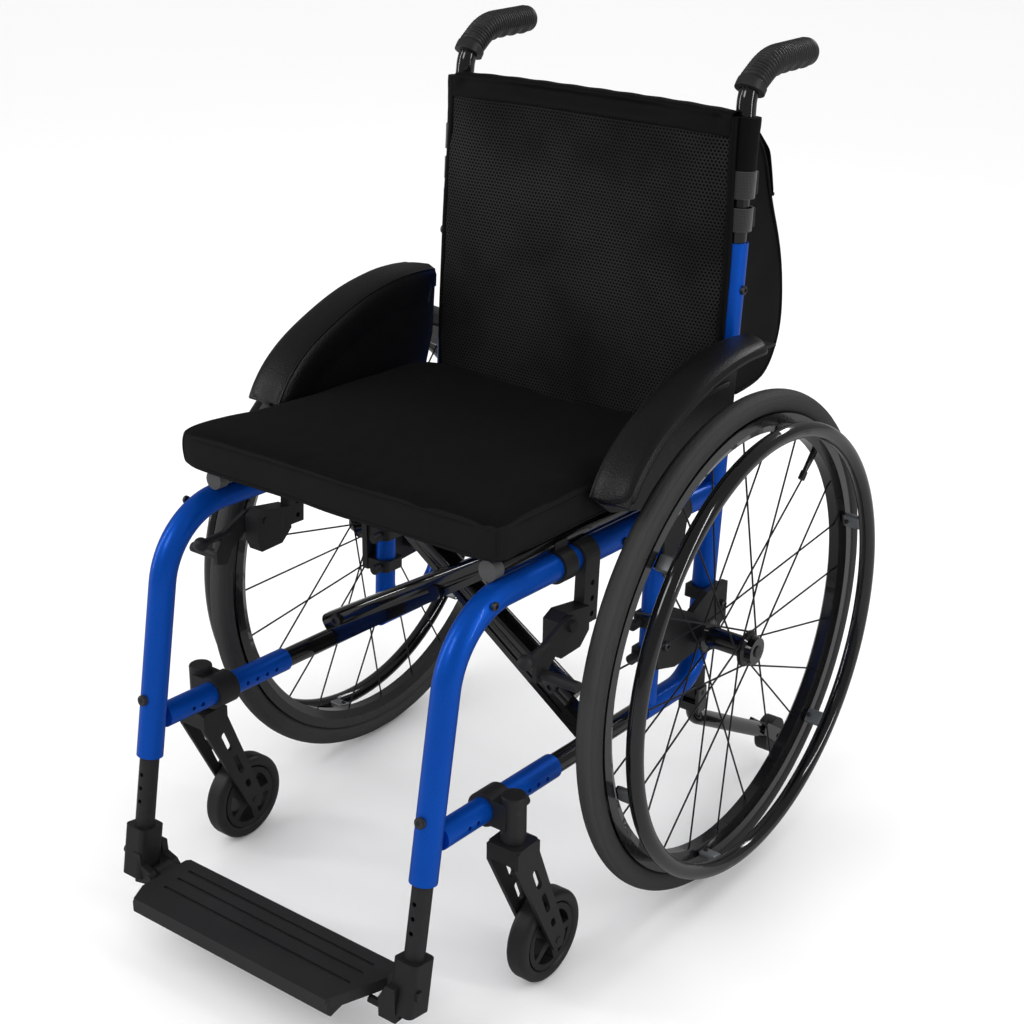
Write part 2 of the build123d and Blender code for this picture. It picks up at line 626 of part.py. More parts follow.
def seat_rail(x, name):
    with BuildPart() as rail:
        y = rail_front
        with BuildSketch(Plane(origin=(x, y, top_z(y) + seat_lift), x_dir=(1, 0, 0), z_dir=rail_dir)):
            Circle(seat_rail_r)
        extrude(amount=rail_back - rail_front)
        fillet(rail.edges().filter_by(GeomType.CIRCLE), 2.0)
    rail.part.label = name
    return rail


rail_left = seat_rail(seat_x, "seat_rail_left")
rail_right = seat_rail(-seat_x, "seat_rail_right")


def brace_arm(sign, y_front, name):
    """Arm from the lower rail on one side (x = -sign * side_x) to the seat rail on the other."""
    plane = across(y_front)
    angle = degrees(brace_angle)
    length = hypot(side_x + seat_x, seat_h)
    with BuildPart() as arm:
        with BuildSketch(plane):
            with Locations(Location((sign * (seat_x - side_x) / 2, seat_h / 2), sign * angle)):
                Rectangle(length, brace_w)
        extrude(amount=-brace_t)
        # groove along the front face
        with BuildSketch(plane):
            with Locations(Location((sign * (seat_x - side_x) / 2, seat_h / 2), sign * angle)):
                Rectangle(length - 90, 3.2)
        extrude(amount=-2.0, mode=Mode.SUBTRACT)
        # sleeve that turns on the lower rail core
        y0 = -125.0
        with BuildSketch(Plane(origin=(-sign * side_x, y0, low_z(y0)), x_dir=(1, 0, 0), z_dir=rail_dir)):
            Circle(11.5)
        extrude(amount=171)
        with BuildSketch(Plane(origin=(-sign * side_x, y0 - 5, low_z(y0 - 5)), x_dir=(1, 0, 0), z_dir=rail_dir)):
            Circle(core_r + 0.05)
        extrude(amount=190, mode=Mode.SUBTRACT)
        # coped on the seat rail
        with BuildSketch(Plane(origin=(sign * seat_x, rail_front, top_z(rail_front) + seat_lift), x_dir=(1, 0, 0), z_dir=rail_dir)):
            Circle(seat_rail_r)
        extrude(amount=380, mode=Mode.SUBTRACT)
    return arm


arm_a = brace_arm(1, brace_front_y, "brace_arm_a")
with BuildPart() as brace_arm_a:
    add(arm_a.part)
    # the pivot bolt is fixed in this arm
    plane = across(brace_front_y)
    with BuildSketch(plane.offset(5)):
        with Locations((0, pivot_h)):
            RegularPolygon(9, 6)
    extrude(amount=-5.2)
    with BuildSketch(plane):
        with Locations((0, pivot_h)):
            Circle(5)
    extrude(amount=-(2 * brace_t + 4 + 4))
brace_arm_a.part.label = "brace_arm_a"

arm_b = brace_arm(-1, brace_front_y + brace_t + 4, "brace_arm_b")
with BuildPart() as brace_arm_b:
    add(arm_b.part)
    plane = across(brace_front_y)
    with BuildSketch(plane):
        with Locations((0, pivot_h)):
            Circle(5.05)
    extrude(amount=-120, mode=Mode.SUBTRACT)
brace_arm_b.part.label = "brace_arm_b"

# ----------------------------------------------------------------- upholstery
seat_plane_z = seat_lift + seat_rail_r / cos(radians(slope)) + 0.4
with BuildPart() as seat_sling:
    with BuildSketch(Plane(origin=(0, -214, top_z(-214) + seat_plane_z), x_dir=(1, 0, 0), z_dir=rail_dir)):
        with Locations((0, -1.25)):
            Rectangle(392, 2.5)
    extrude(amount=360)
seat_sling.part.label = "seat_sling"

with BuildPart() as seat_cushion:
    y = cushion_front
    with BuildSketch(Plane(origin=(0, y, top_z(y) + seat_plane_z + 3.0), x_dir=(1, 0, 0), z_dir=rail_dir)):
        with Locations((0, -cushion_t / 2)):
            Rectangle(2 * cushion_half, cushion_t)
    extrude(amount=(cushion_back - cushion_front) / cos(radians(slope)))
    fillet(seat_cushion.edges().filter_by(Axis.Z, tolerance=4).sort_by(Axis.Y)[:2], 14)
seat_cushion.part.label = "seat_cushion"

with BuildPart() as back_upholstery:
    with BuildSketch(Plane(origin=(-201, 0, 0), x_dir=(0, 1, 0), z_dir=(1, 0, 0))):
        Polygon(
            (cane_at(505) - 22, 505), (cane_at(505) - 15, 505), (cane_at(888) - 15, 888), (cane_at(888) - 22, 888), align=None)
    extrude(amount=402)
    # padded between the canes
    with BuildSketch(Plane(origin=(-172, 0, 0), x_dir=(0, 1, 0), z_dir=(1, 0, 0))):
        Polygon(
            (cane_at(505) - 22, 505), (cane_at(505) + 4, 505), (cane_at(888) + 4, 888), (cane_at(888) - 22, 888), align=None)
    extrude(amount=344)
back_upholstery.part.label = "back_upholstery"

with BuildPart() as back_pocket:
    with BuildSketch(Plane(origin=(-188, 0, 0), x_dir=(0, 1, 0), z_dir=(1, 0, 0))):
        Polygon(
            (cane_at(868) + 15, 868), (cane_at(868) + 32, 868), (290, 827), (308, 772), (345, 705), (360, 600), (305, 540),
            (cane_at(540) + 15, 540), align=None)
    extrude(amount=376)
back_pocket.part.label = "back_pocket"

# ------------------------------------------------------------------ anti-tip
tip_x, tip_y, tip_z = 198.5, 168.0, 196.0
wheel_ty, wheel_tz, tip_wheel_r = 376.0, 40.0, 25.0
with BuildPart() as anti_tip_socket:
    with BuildSketch(Plane(origin=(tip_x - 9, 0, 0), x_dir=(0, 1, 0), z_dir=(1, 0, 0))):
        Polygon((tip_y - 12, 226), (tip_y + 12, 226), (tip_y + 12, 196), (tip_y + 5, 186), (tip_y - 5, 186), (tip_y - 12, 196), align=None)
    extrude(amount=18)
    with BuildSketch(Plane(origin=(tip_x - 14, tip_y, tip_z), x_dir=(0, 1, 0), z_dir=(1, 0, 0))):
        Circle(3.5)
    extrude(amount=28)
    # coped on the loop
    with BuildLine(mode=Mode.PRIVATE) as loop_path:
        FilletPolyline((tip_x, 48, low_z(48)), (tip_x, heel_y, heel_z), (tip_x, cane_at(400), 400), radius=rear_bend)
    with BuildSketch(Plane(origin=loop_path.line @ 0, z_dir=loop_path.line % 0)):
        Circle(rear_d / 2)
    sweep(path=loop_path.line, mode=Mode.SUBTRACT)
anti_tip_socket.part.label = "anti_tip_socket"

run = Vector(0, wheel_ty - 188, wheel_tz - 160).normalized()
with BuildPart() as anti_tip_tube:
    with BuildLine() as tip_path:
        FilletPolyline((tip_x, tip_y + 2, 182), (tip_x, 176, 156), (tip_x, wheel_ty - 26 * run.Y, wheel_tz - 26 * run.Z), radius=22)
    with BuildSketch(Plane(origin=tip_path.line @ 0, z_dir=tip_path.line % 0)):
        Circle(10)
    sweep(path=tip_path.line)
    # clevis round the socket
    for side in (-1, 1):
        with BuildSketch(Plane(origin=(tip_x + side * 11.75 - 2.25, 0, 0), x_dir=(0, 1, 0), z_dir=(1, 0, 0))):
            Polygon((tip_y - 9, 203), (tip_y + 9, 203), (tip_y + 11, 170), (tip_y - 8, 170), align=None)
            with Locations((tip_y, tip_z)):
                Circle(3.55, mode=Mode.SUBTRACT)
        extrude(amount=4.5)
    with BuildSketch(Plane.XY.offset(170)):
        with Locations((tip_x, tip_y + 1.5)):
            Rectangle(28, 19)
    extrude(amount=11)
    # fork for the wheel
    for side in (-1, 1):
        with BuildSketch(Plane(origin=(tip_x + side * 12 - 1.5, 0, 0), x_dir=(0, 1, 0), z_dir=(1, 0, 0))):
            Polygon((wheel_ty + 7, wheel_tz - 7), (wheel_ty + 7, wheel_tz + 7), (wheel_ty - 30, wheel_tz + 33), (wheel_ty - 40, wheel_tz + 20), (wheel_ty - 6, wheel_tz - 7), align=None)
        extrude(amount=3)
    with BuildSketch(Plane(origin=(tip_x - 13.5, wheel_ty - 31.5, wheel_tz + 24.5), x_dir=(0, 1, 0), z_dir=(1, 0, 0))):
        Circle(6.5)
    extrude(amount=27)
    with BuildSketch(Plane(origin=(tip_x - 14.5, wheel_ty, wheel_tz), x_dir=(0, 1, 0), z_dir=(1, 0, 0))):
        Circle(3)
    extrude(amount=29)
anti_tip_tube.part.label = "anti_tip_tube"

with BuildPart() as anti_tip_wheel:
    with BuildSketch(Plane(origin=(tip_x - 9, wheel_ty, wheel_tz), x_dir=(0, 1, 0), z_dir=(1, 0, 0))):
        Circle(tip_wheel_r - 1.5)
        Circle(3.05, mode=Mode.SUBTRACT)
    extrude(amount=18)
anti_tip_wheel.part.label = "anti_tip_wheel"

# ----------------------------------------------------------- write every piece
for name, solid in pieces.items():
    with BuildPart() as left:
        add(solid)
    left.part.label = name + "_left"
    export_step(left.part, f"parts/{name}_left.step")
    with BuildPart() as right:
        mirror(solid, about=Plane.YZ)
    right.part.label = name + "_right"
    export_step(right.part, f"parts/{name}_right.step")

for single in (
    bracket_left, bracket_right, footplate, rail_left, rail_right, brace_arm_a, brace_arm_b,
    seat_sling, seat_cushion, back_upholstery, back_pocket, anti_tip_socket, anti_tip_tube, anti_tip_wheel,
):
    export_step(single.part, f"parts/{single.part.label}.step")
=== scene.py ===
"""Looks of a folding manual wheelchair, built round its packed frame."""
import math
from math import cos, pi, radians, sin, tan

import bmesh
import bpy
from bpy.props import FloatProperty, FloatVectorProperty, IntProperty, PointerProperty
from mathutils import Euler, Matrix, Vector, noise


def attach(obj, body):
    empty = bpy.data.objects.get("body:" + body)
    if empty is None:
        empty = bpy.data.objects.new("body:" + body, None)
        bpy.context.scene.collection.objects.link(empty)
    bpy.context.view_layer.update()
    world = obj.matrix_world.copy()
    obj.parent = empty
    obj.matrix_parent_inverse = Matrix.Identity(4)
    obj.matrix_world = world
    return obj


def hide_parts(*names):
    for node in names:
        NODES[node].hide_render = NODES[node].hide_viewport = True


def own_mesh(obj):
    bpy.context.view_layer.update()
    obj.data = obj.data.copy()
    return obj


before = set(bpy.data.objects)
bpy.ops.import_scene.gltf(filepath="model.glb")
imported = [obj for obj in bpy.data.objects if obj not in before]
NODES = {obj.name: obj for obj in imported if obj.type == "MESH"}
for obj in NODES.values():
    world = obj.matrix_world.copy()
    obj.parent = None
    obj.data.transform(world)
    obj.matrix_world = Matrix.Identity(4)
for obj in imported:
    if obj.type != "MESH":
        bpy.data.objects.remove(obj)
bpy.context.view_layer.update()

bl_info = {
    "name": "Manual wheelchair",
    "version": (1, 0, 0),
    "blender": (4, 5, 0),
    "location": "View3D > Sidebar > Wheelchair",
    "description": "Upholstery, grips, tyres, fittings and finishes of a folding manual wheelchair",
    "category": "Object",
}

SIDES = (("left", 1), ("right", -1))
X_AXIS, Y_AXIS, Z_AXIS = Vector((1, 0, 0)), Vector((0, 1, 0)), Vector((0, 0, 1))

# ------------------------------------------------------------ lines of the frame
RAIL_DROP = tan(radians(3))
CANE_LEAN = 0.0675
SIDE_X = 0.1985
AXLE = Vector((0.267, 0.128, 0.298))


def rail_top(y):
    """Height of the top tube's axis."""
    return 0.472 - RAIL_DROP * (y + 0.188)


def cane_y(z):
    """The rear upright's axis at a height."""
    return 0.173 + CANE_LEAN * (z - 0.247)


def post_y(z):
    """The front post's axis at a height."""
    return -0.361 + 0.183 * (z - 0.107)


def ease(low, high, value):
    """0 at low, 1 at high, with soft ends, whichever way they lie."""
    t = min(1.0, max(0.0, (value - low) / (high - low)))
    return t * t * (3 - 2 * t)


# ---------------------------------------------------------------------- settings
def length_setting(name, text, value):
    return FloatProperty(name=name, description=text, default=value, unit="LENGTH")


def colour_setting(name, text, value):
    return FloatVectorProperty(name=name, description=text, default=value, subtype="COLOR")


def number_setting(name, text, value):
    return FloatProperty(name=name, description=text, default=value)


class ClothSettings(bpy.types.PropertyGroup):
    """Sizes and colours of the upholstery."""
    cushion_crown: length_setting("Cushion crown", "How far the middle of the cushion stands up", 0.004)
    cushion_dip: length_setting("Cushion dip", "How far the cushion sags where it is sat on", 0.014)
    puff: length_setting("Puff", "The most that the filling pushes the cover out", 0.005)
    voxel: length_setting("Mesh step", "Size of the cloth's mesh while it is inflated", 0.006)
    mesh_pitch: length_setting("Mesh pitch", "Distance between holes in the back's spacer mesh", 0.0044)
    black: colour_setting("Cloth colour", "Colour of the woven cloth", (0.0062, 0.0062, 0.0063))


class TubeSettings(bpy.types.PropertyGroup):
    """Colours of the painted frame."""
    blue: colour_setting("Frame colour", "Colour of the painted tubes", (0.0010, 0.088, 0.540))
    roughness: FloatProperty(name="Paint roughness", description="Roughness of the metallic paint",
                             default=0.34, subtype="FACTOR")


class GripSettings(bpy.types.PropertyGroup):
    """Sizes of the moulded push grips."""
    radius: length_setting("Grip radius", "Outside radius of the grip", 0.0158)
    rib_pitch: length_setting("Rib pitch", "Distance between the fine ribs", 0.0042)
    wave_pitch: length_setting("Finger pitch", "Distance between the finger hollows", 0.021)
    wave: length_setting("Finger depth", "Depth of the finger hollows", 0.0022)


class TyreSettings(bpy.types.PropertyGroup):
    """Sizes of the rear tyres."""
    radius: length_setting("Tyre radius", "Outside radius of a rear tyre", 0.298)
    section: length_setting("Section radius", "Radius of the tyre's own section", 0.014)
    steps: IntProperty(name="Steps round", description="Segments round a tyre", default=144)


class StageSettings(bpy.types.PropertyGroup):
    """Floor, light and camera."""
    floor: colour_setting("Floor colour", "Colour of the floor", (0.95, 0.95, 0.95))
    key: number_setting("Key light", "Power of the large soft light", 13.0)
    fill: number_setting("Fill light", "Power of the side lights", 13.0)
    sky: number_setting("Room light", "Strength of the even light of the room", 1.11)
    reflected: number_setting("Reflected room", "Strength of the room in reflections", 0.16)


# ------------------------------------------------------------------ shader maths
class Reading:
    """One output of a shader node, with arithmetic that adds Math nodes."""

    def __init__(self, shader, socket):
        self.shader, self.socket = shader, socket

    def math(self, operation, *others):
        sockets = dict(enumerate((self, *others)))
        return self.shader.node("ShaderNodeMath", {"operation": operation}, sockets)

    def swapped(self, operation, other):
        return self.shader.node("ShaderNodeMath", {"operation": operation}, {0: other, 1: self})

    def __add__(self, other): return self.math("ADD", other)
    def __sub__(self, other): return self.math("SUBTRACT", other)
    def __mul__(self, other): return self.math("MULTIPLY", other)
    def __truediv__(self, other): return self.math("DIVIDE", other)
    def __gt__(self, other): return self.math("GREATER_THAN", other)
    __radd__, __rmul__ = __add__, __mul__
    def __rsub__(self, other): return self.swapped("SUBTRACT", other)

    def abs(self): return self.math("ABSOLUTE")
    def sin(self): return self.math("SINE")
    def sqrt(self): return self.math("SQRT")
    def fract(self): return self.math("FRACT")
    def max(self, other): return self.math("MAXIMUM", other)

    def rise(self, low, high):
        """0 below low, 1 above high, with soft ends."""
        sockets = {"Value": self, "From Min": low, "From Max": high}
        return self.shader.node("ShaderNodeMapRange", {"interpolation_type": "SMOOTHSTEP"}, sockets)


class Finish:
    """A material, with its surface shader and the nodes that feed it."""

    def __init__(self, name, **fixed):
        self.material = bpy.data.materials.new(name)
        self.material.use_nodes = True
        self.tree = self.material.node_tree
        self.tree.nodes.clear()
        self.surface = self.tree.nodes.new("ShaderNodeBsdfPrincipled")
        out = self.tree.nodes.new("ShaderNodeOutputMaterial")
        self.tree.links.new(self.surface.outputs[0], out.inputs[0])
        for key, value in fixed.items():
            self.surface.inputs[key.replace("_", " ").title().replace("Ior", "IOR")].default_value = value

    def node(self, kind, settings=None, sockets=None, out=0):
        """Adds a node: its settings first, then the values or links of its sockets."""
        made = self.tree.nodes.new(kind)
        for key, value in (settings or {}).items():
            if key == "stops":
                while len(made.color_ramp.elements) < len(value):
                    made.color_ramp.elements.new(0.5)
                for element, (at, colour) in zip(made.color_ramp.elements, value):
                    element.position, element.color = at, colour
            else:
                setattr(made, key, value)
        for key, value in (sockets or {}).items():
            if isinstance(value, Reading):
                self.tree.links.new(value.socket, made.inputs[key])
            elif value is not None:
                made.inputs[key].default_value = value
        return Reading(self, made.outputs[out])

    def feed(self, name, value):
        self.tree.links.new(value.socket, self.surface.inputs[name])

    def place(self, middle=(0, 0, 0), turn=(0, 0, 0)):
        """Object coordinates, centred and turned on the piece."""
        where = self.node("ShaderNodeTexCoord", out="Object")
        if any(middle) or any(turn):
            back = Euler(turn).to_matrix().transposed() @ -Vector(middle)
            inverse = Euler(turn).to_matrix().transposed().to_euler()
            sockets = {"Vector": where, "Location": tuple(back), "Rotation": tuple(inverse)}
            where = self.node("ShaderNodeMapping", {}, sockets)
        return where

    def split(self, vector):
        parts = self.tree.nodes.new("ShaderNodeSeparateXYZ")
        self.tree.links.new(vector.socket, parts.inputs[0])
        return [Reading(self, o) for o in parts.outputs]

    def noise(self, scale, detail=2.0, vector=None, roughness=0.5):
        sockets = {"Vector": vector, "Scale": scale, "Detail": detail, "Roughness": roughness}
        return self.node("ShaderNodeTexNoise", {}, sockets)

    def cells(self, scale, vector=None, feature="F1", out="Distance"):
        sockets = {"Vector": vector, "Scale": scale}
        return self.node("ShaderNodeTexVoronoi", {"feature": feature}, sockets, out=out)

    def blend(self, factor, low, high):
        """A colour from low to high by a factor."""
        def rgba(c):
            return c if isinstance(c, Reading) else (*c[:3], 1.0)
        made = self.tree.nodes.new("ShaderNodeMix")
        made.data_type = "RGBA"
        # inputs 0, 6 and 7 of a colour Mix are its factor and its two colours
        for number, value in ((0, factor), (6, rgba(low)), (7, rgba(high))):
            if isinstance(value, Reading):
                self.tree.links.new(value.socket, made.inputs[number])
            else:
                made.inputs[number].default_value = value
        return Reading(self, made.outputs[2])

    def relief(self, height, strength, distance):
        sockets = {"Height": height, "Strength": strength, "Distance": distance}
        self.feed("Normal", self.node("ShaderNodeBump", {}, sockets))


def shade(colour, factor):
    return tuple(min(1.0, c * factor) for c in colour[:3])


# --------------------------------------------------------------------- finishes
def blue_paint():
    """Metallic paint with fine flake under a clear coat."""
    sizes = bpy.context.scene.chair_tubes
    f = Finish("frame_paint", metallic=0.65, coat_weight=0.2, coat_roughness=0.08, specular_ior_level=0.2)
    at = f.place()
    flake, drift = f.cells(2600, at, out="Color"), f.noise(9, 3, at)
    flake = f.split(flake)[0]
    blue = tuple(sizes.blue)
    worn = f.noise(60, 4, at).rise(0.68, 0.78)
    base = f.blend(flake * 0.55 + drift * 0.45, shade(blue, 0.72), shade(blue, 1.3))
    f.feed("Base Color", f.blend(worn * 0.12, base, shade(blue, 0.5)))
    f.feed("Roughness", sizes.roughness + flake * 0.05 + drift * 0.06)
    f.relief(flake * 0.2 + f.noise(420, 2, at), 0.07, 0.0006)
    return f.material


def gloss_black(name="gloss_black", base=(0.0025, 0.0025, 0.0027), roughness=0.07):
    """Gloss enamel with a little orange peel."""
    f = Finish(name, coat_weight=0.8, coat_roughness=0.03, specular_ior_level=0.6)
    at = f.place()
    peel, haze = f.noise(260, 3, at), f.noise(14, 4, at)
    f.feed("Base Color", f.blend(haze, shade(base, 0.8), shade(base, 1.5)))
    f.feed("Roughness", roughness + haze * 0.1)
    f.relief(peel, 0.05, 0.0008)
    return f.material


def satin_metal():
    """Powder-coated brackets and castings, a little lighter along wear."""
    f = Finish("satin_metal", metallic=0.2, specular_ior_level=0.5)
    at = f.place()
    grit, patch = f.cells(1500, at), f.noise(30, 4, at)
    rub = f.noise(130, 3, at).rise(0.62, 0.74)
    f.feed("Base Color", f.blend(rub * 0.35 + patch * 0.2, (0.014, 0.014, 0.0145), (0.042, 0.042, 0.043)))
    f.feed("Roughness", 0.38 + patch * 0.18)
    f.relief(grit, 0.18, 0.0004)
    return f.material


def moulded(name, base, roughness, grain, depth):
    """Moulded plastic with a fine grained skin."""
    f = Finish(name, specular_ior_level=0.45)
    at = f.place()
    skin, cloud = f.cells(grain, at, feature="SMOOTH_F1"), f.noise(22, 4, at)
    pits = f.noise(grain * 0.8, 3, at)
    f.feed("Base Color", f.blend(cloud * 0.5 + skin * 0.4, shade(base, 0.7), shade(base, 1.5)))
    f.feed("Roughness", roughness + cloud * 0.12 - skin * 0.08)
    f.relief(skin + pits * 0.6, depth, 0.0006)
    return f.material


def grip_rubber():
    """Soft rubber, dusty on the ribs."""
    f = Finish("grip_skin", specular_ior_level=0.42)
    at = f.place()
    dust, fine = f.noise(90, 4, at), f.noise(2400, 2, at)
    f.feed("Base Color", f.blend(dust, (0.009, 0.009, 0.009), (0.026, 0.026, 0.026)))
    f.feed("Roughness", 0.34 + dust * 0.16)
    f.relief(fine, 0.15, 0.0004)
    return f.material


def tyre_rubber(name, middle, tread_from):
    """Rubber with moulding rings on the side walls and fine cross cuts in the tread."""
    f = Finish(name, specular_ior_level=0.35)
    x, y, z = f.split(f.place(middle))
    out = (y * y + z * z).sqrt()
    turn = y.math("ARCTAN2", z)
    rings = (out * (2 * pi / 0.0022)).sin()
    tread = out.rise(tread_from - 0.0015, tread_from)
    cuts = ((turn * (tread_from / 0.0026) * 2 * pi * 0.16 + x.abs() * 900).sin()).rise(0.5, 0.9)
    bloom = f.noise(40, 4)
    scuff = f.noise(300, 3)
    wear = bloom * 0.6 + tread * scuff * 0.5
    f.feed("Base Color", f.blend(wear, (0.024, 0.024, 0.0235), (0.048, 0.048, 0.0468)))
    f.feed("Roughness", 0.56 + bloom * 0.14 + tread * 0.08)
    f.relief(rings * 0.35 * (1 - tread) + cuts * tread * -0.9 + scuff * 0.4, 0.3, 0.0006)
    return f.material


def bare_steel(name, base, roughness):
    """Ground or anodised metal with fine lines."""
    f = Finish(name, metallic=0.9)
    at = f.place()
    lines, tarnish = f.noise(700, 2, at), f.noise(45, 4, at)
    f.feed("Base Color", f.blend(tarnish, shade(base, 0.75), shade(base, 1.15)))
    f.feed("Roughness", roughness + lines * 0.12)
    f.relief(lines, 0.06, 0.0004)
    return f.material


def facing(f):
    """How far the cloth faces along x, y and z, each 0 or 1."""
    normal = f.node("ShaderNodeTexCoord", out="Normal")
    nx, ny, nz = [n.abs() for n in f.split(normal)]
    side = nx > ny.max(nz)
    front = (ny > nx.max(nz)) * (1 - side)
    return side, front, (1 - side) * (1 - front)


def woven(name, base, pitch, roughness, sheen=0.25, bump=0.35, painted_top_shade=1.0):
    """Plain woven cloth: threads over and under in two directions, darker by nap where it faces up."""
    f = Finish(name, sheen_weight=sheen, sheen_roughness=0.5, specular_ior_level=0.14)
    at = f.place()
    x, y, z = f.split(at)
    side, front, top = facing(f)
    u = x * (front + top) + y * side
    v = y * top + z * (front + side)
    k = 2 * pi / pitch
    warp, weft = (u * k).sin(), (v * k).sin()
    over = (warp * weft).rise(-0.6, 0.6)
    threads = warp.abs() * over + weft.abs() * (1 - over)
    fuzz, cloud = f.noise(1500, 3, at), f.noise(16, 5, at)
    tone = threads * 0.45 + fuzz * 0.125 + cloud * 0.3
    lit = f.blend(tone, shade(base, 0.55), shade(base, 1.7))
    # painted shade: the copy for upward faces has its colour scaled down by the last argument, so tops look darker as
    # if in shade
    flat = f.blend(tone, shade(base, 0.55 * painted_top_shade), shade(base, 1.7 * painted_top_shade))
    f.feed("Base Color", f.blend(top, lit, flat))
    f.feed("Roughness", roughness + cloud * 0.08)
    f.relief(threads + fuzz * 0.5, bump, pitch * 0.5)
    return f.material


def spacer_mesh():
    """Spacer mesh: rows of hexagonal holes in a knitted face, over a dark ground."""
    sizes = bpy.context.scene.chair_cloth
    f = Finish("spacer_mesh", sheen_weight=0.02, sheen_roughness=0.45, specular_ior_level=0.16)
    at = f.place()
    x, y, z = f.split(at)
    p = sizes.mesh_pitch
    w = f.noise(6, 2, at) * 0.006
    across, up = (x + w) / p, (z + w) / (p * 0.866)
    shift = (up * 0.5).fract() > 0.5
    du = (across + shift * 0.5).fract() - 0.5
    dv = up.fract() - 0.5
    hole = 1 - (du * du + dv * dv * 0.75).sqrt().rise(0.26, 0.38)
    yarn, cloud = f.noise(2600, 2, at), f.noise(7, 3, at)
    knit = f.blend(yarn * 0.35 + cloud.rise(0.3, 0.7) * 0.65, (0.004, 0.004, 0.0041), (0.025, 0.025, 0.0255))
    # painted shade: the holes are coloured near black for the shade inside them
    f.feed("Base Color", f.blend(hole, knit, (0.0005, 0.0005, 0.0005)))
    f.feed("Roughness", 0.62 + hole * 0.3)
    f.relief(yarn * 0.25 - hole, 0.55, 0.0012)
    return f.material


def webbing():
    """Ribbed polyester webbing."""
    f = Finish("webbing", sheen_weight=0.3, specular_ior_level=0.3)
    at = f.place()
    x, y, z = f.split(at)
    ribs = (z * (2 * pi / 0.0016)).sin()
    cross = ((x + y) * (2 * pi / 0.0024)).sin()
    fuzz = f.noise(1800, 2, at)
    tone = ribs * 0.3 + cross * 0.2 + fuzz * 0.5
    f.feed("Base Color", f.blend(tone, (0.012, 0.012, 0.012), (0.035, 0.035, 0.036)))
    f.feed("Roughness", 0.7 + fuzz * 0.1)
    f.relief(ribs + cross * 0.6, 0.4, 0.0006)
    return f.material


def stage_floor():
    """A pale floor that fades into the white of the room, and stays dim in reflections."""
    f = Finish("floor", specular_ior_level=0.2)
    dust = f.noise(3, 4)
    floor = tuple(bpy.context.scene.chair_stage.floor)
    pale = f.blend(dust, shade(floor, 0.985), shade(floor, 1.015))
    mirrored = f.node("ShaderNodeLightPath", out="Is Glossy Ray")
    f.feed("Base Color", f.blend(mirrored, pale, shade(floor, 0.3)))
    f.feed("Roughness", 0.55 + dust * 0.1)
    return f.material


# ---------------------------------------------------------------- modelling by hand
def clear():
    bpy.ops.object.select_all(action="DESELECT")


def only(piece):
    clear()
    piece.select_set(True)
    bpy.context.view_layer.objects.active = piece


def named(name):
    """Takes up the primitive that was just added, under its own name."""
    piece = bpy.context.object
    piece.name = piece.data.name = name
    return piece


def start_edit(piece, by="FACE"):
    only(piece)
    bpy.ops.object.mode_set(mode="EDIT")
    bpy.ops.mesh.select_mode(type=by)
    bpy.ops.mesh.select_all(action="DESELECT")


def end_edit():
    bpy.ops.object.mode_set(mode="OBJECT")


def pick(piece, test, by="FACE"):
    """Selects faces, edges or vertices by their place, in edit mode."""
    mesh = bmesh.from_edit_mesh(piece.data)
    kinds = {"FACE": mesh.faces, "EDGE": mesh.edges, "VERT": mesh.verts}
    for part in kinds[by]:
        if by == "FACE":
            where, way = part.calc_center_median(), part.normal
        elif by == "EDGE":
            where, way = (part.verts[0].co + part.verts[1].co) / 2, part.verts[1].co - part.verts[0].co
        else:
            where, way = part.co, part.normal
        part.select_set(bool(test(where, way)))
    mesh.select_flush_mode()
    bmesh.update_edit_mesh(piece.data)


def modify(piece, kind, **settings):
    only(piece)
    made = piece.modifiers.new(kind.lower(), kind)
    for key, value in settings.items():
        setattr(made, key, value)
    bpy.ops.object.modifier_apply(modifier=made.name)


def settle(piece):
    """Puts the piece's place and turn into its mesh."""
    only(piece)
    bpy.ops.object.transform_apply(location=True, rotation=True, scale=True)
    return piece


def shape(piece, rule):
    """Moves every point of the mesh by a rule, as by sculpting."""
    for vertex in piece.data.vertices:
        vertex.co = rule(vertex.co.copy())
    piece.data.update()


def outward(piece, merge=0.00002):
    start_edit(piece, "VERT")
    bpy.ops.mesh.select_all(action="SELECT")
    bpy.ops.mesh.remove_doubles(threshold=merge)
    bpy.ops.mesh.normals_make_consistent(inside=False)
    end_edit()


def dress(piece, body, material, angle=35.0):
    """Shades the piece, gives it its finish and lets it ride on its body."""
    only(piece)
    if angle:
        bpy.ops.object.shade_smooth_by_angle(angle=radians(angle))
    else:
        bpy.ops.object.shade_smooth()
    piece.data.materials.clear()
    piece.data.materials.append(bpy.data.materials[material])
    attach(piece, body)
    return piece


def block(name, low, high, cuts=(), bevel=0.0):
    """A block between two corners, cut up evenly along x, y and z."""
    low, high = Vector(low), Vector(high)
    clear()
    bpy.ops.mesh.primitive_cube_add(size=1, location=(low + high) / 2, scale=(high - low))
    piece = settle(named(name))
    for axis, number in zip((X_AXIS, Y_AXIS, Z_AXIS), cuts):
        if number > 1:
            start_edit(piece, "EDGE")
            pick(piece, lambda c, way: abs(way.normalized().dot(axis)) > 0.99, "EDGE")
            bpy.ops.mesh.subdivide(number_cuts=number - 1)
            end_edit()
    if bevel:
        modify(piece, "BEVEL", width=bevel, segments=3, limit_method="ANGLE")
    return piece


def sheet_grid(name, nx, ny):
    """A flat grid, one unit square, to be laid out by shape()."""
    clear()
    bpy.ops.mesh.primitive_grid_add(x_subdivisions=nx, y_subdivisions=ny, size=1, location=(0.5, 0.5, 0))
    return settle(named(name))


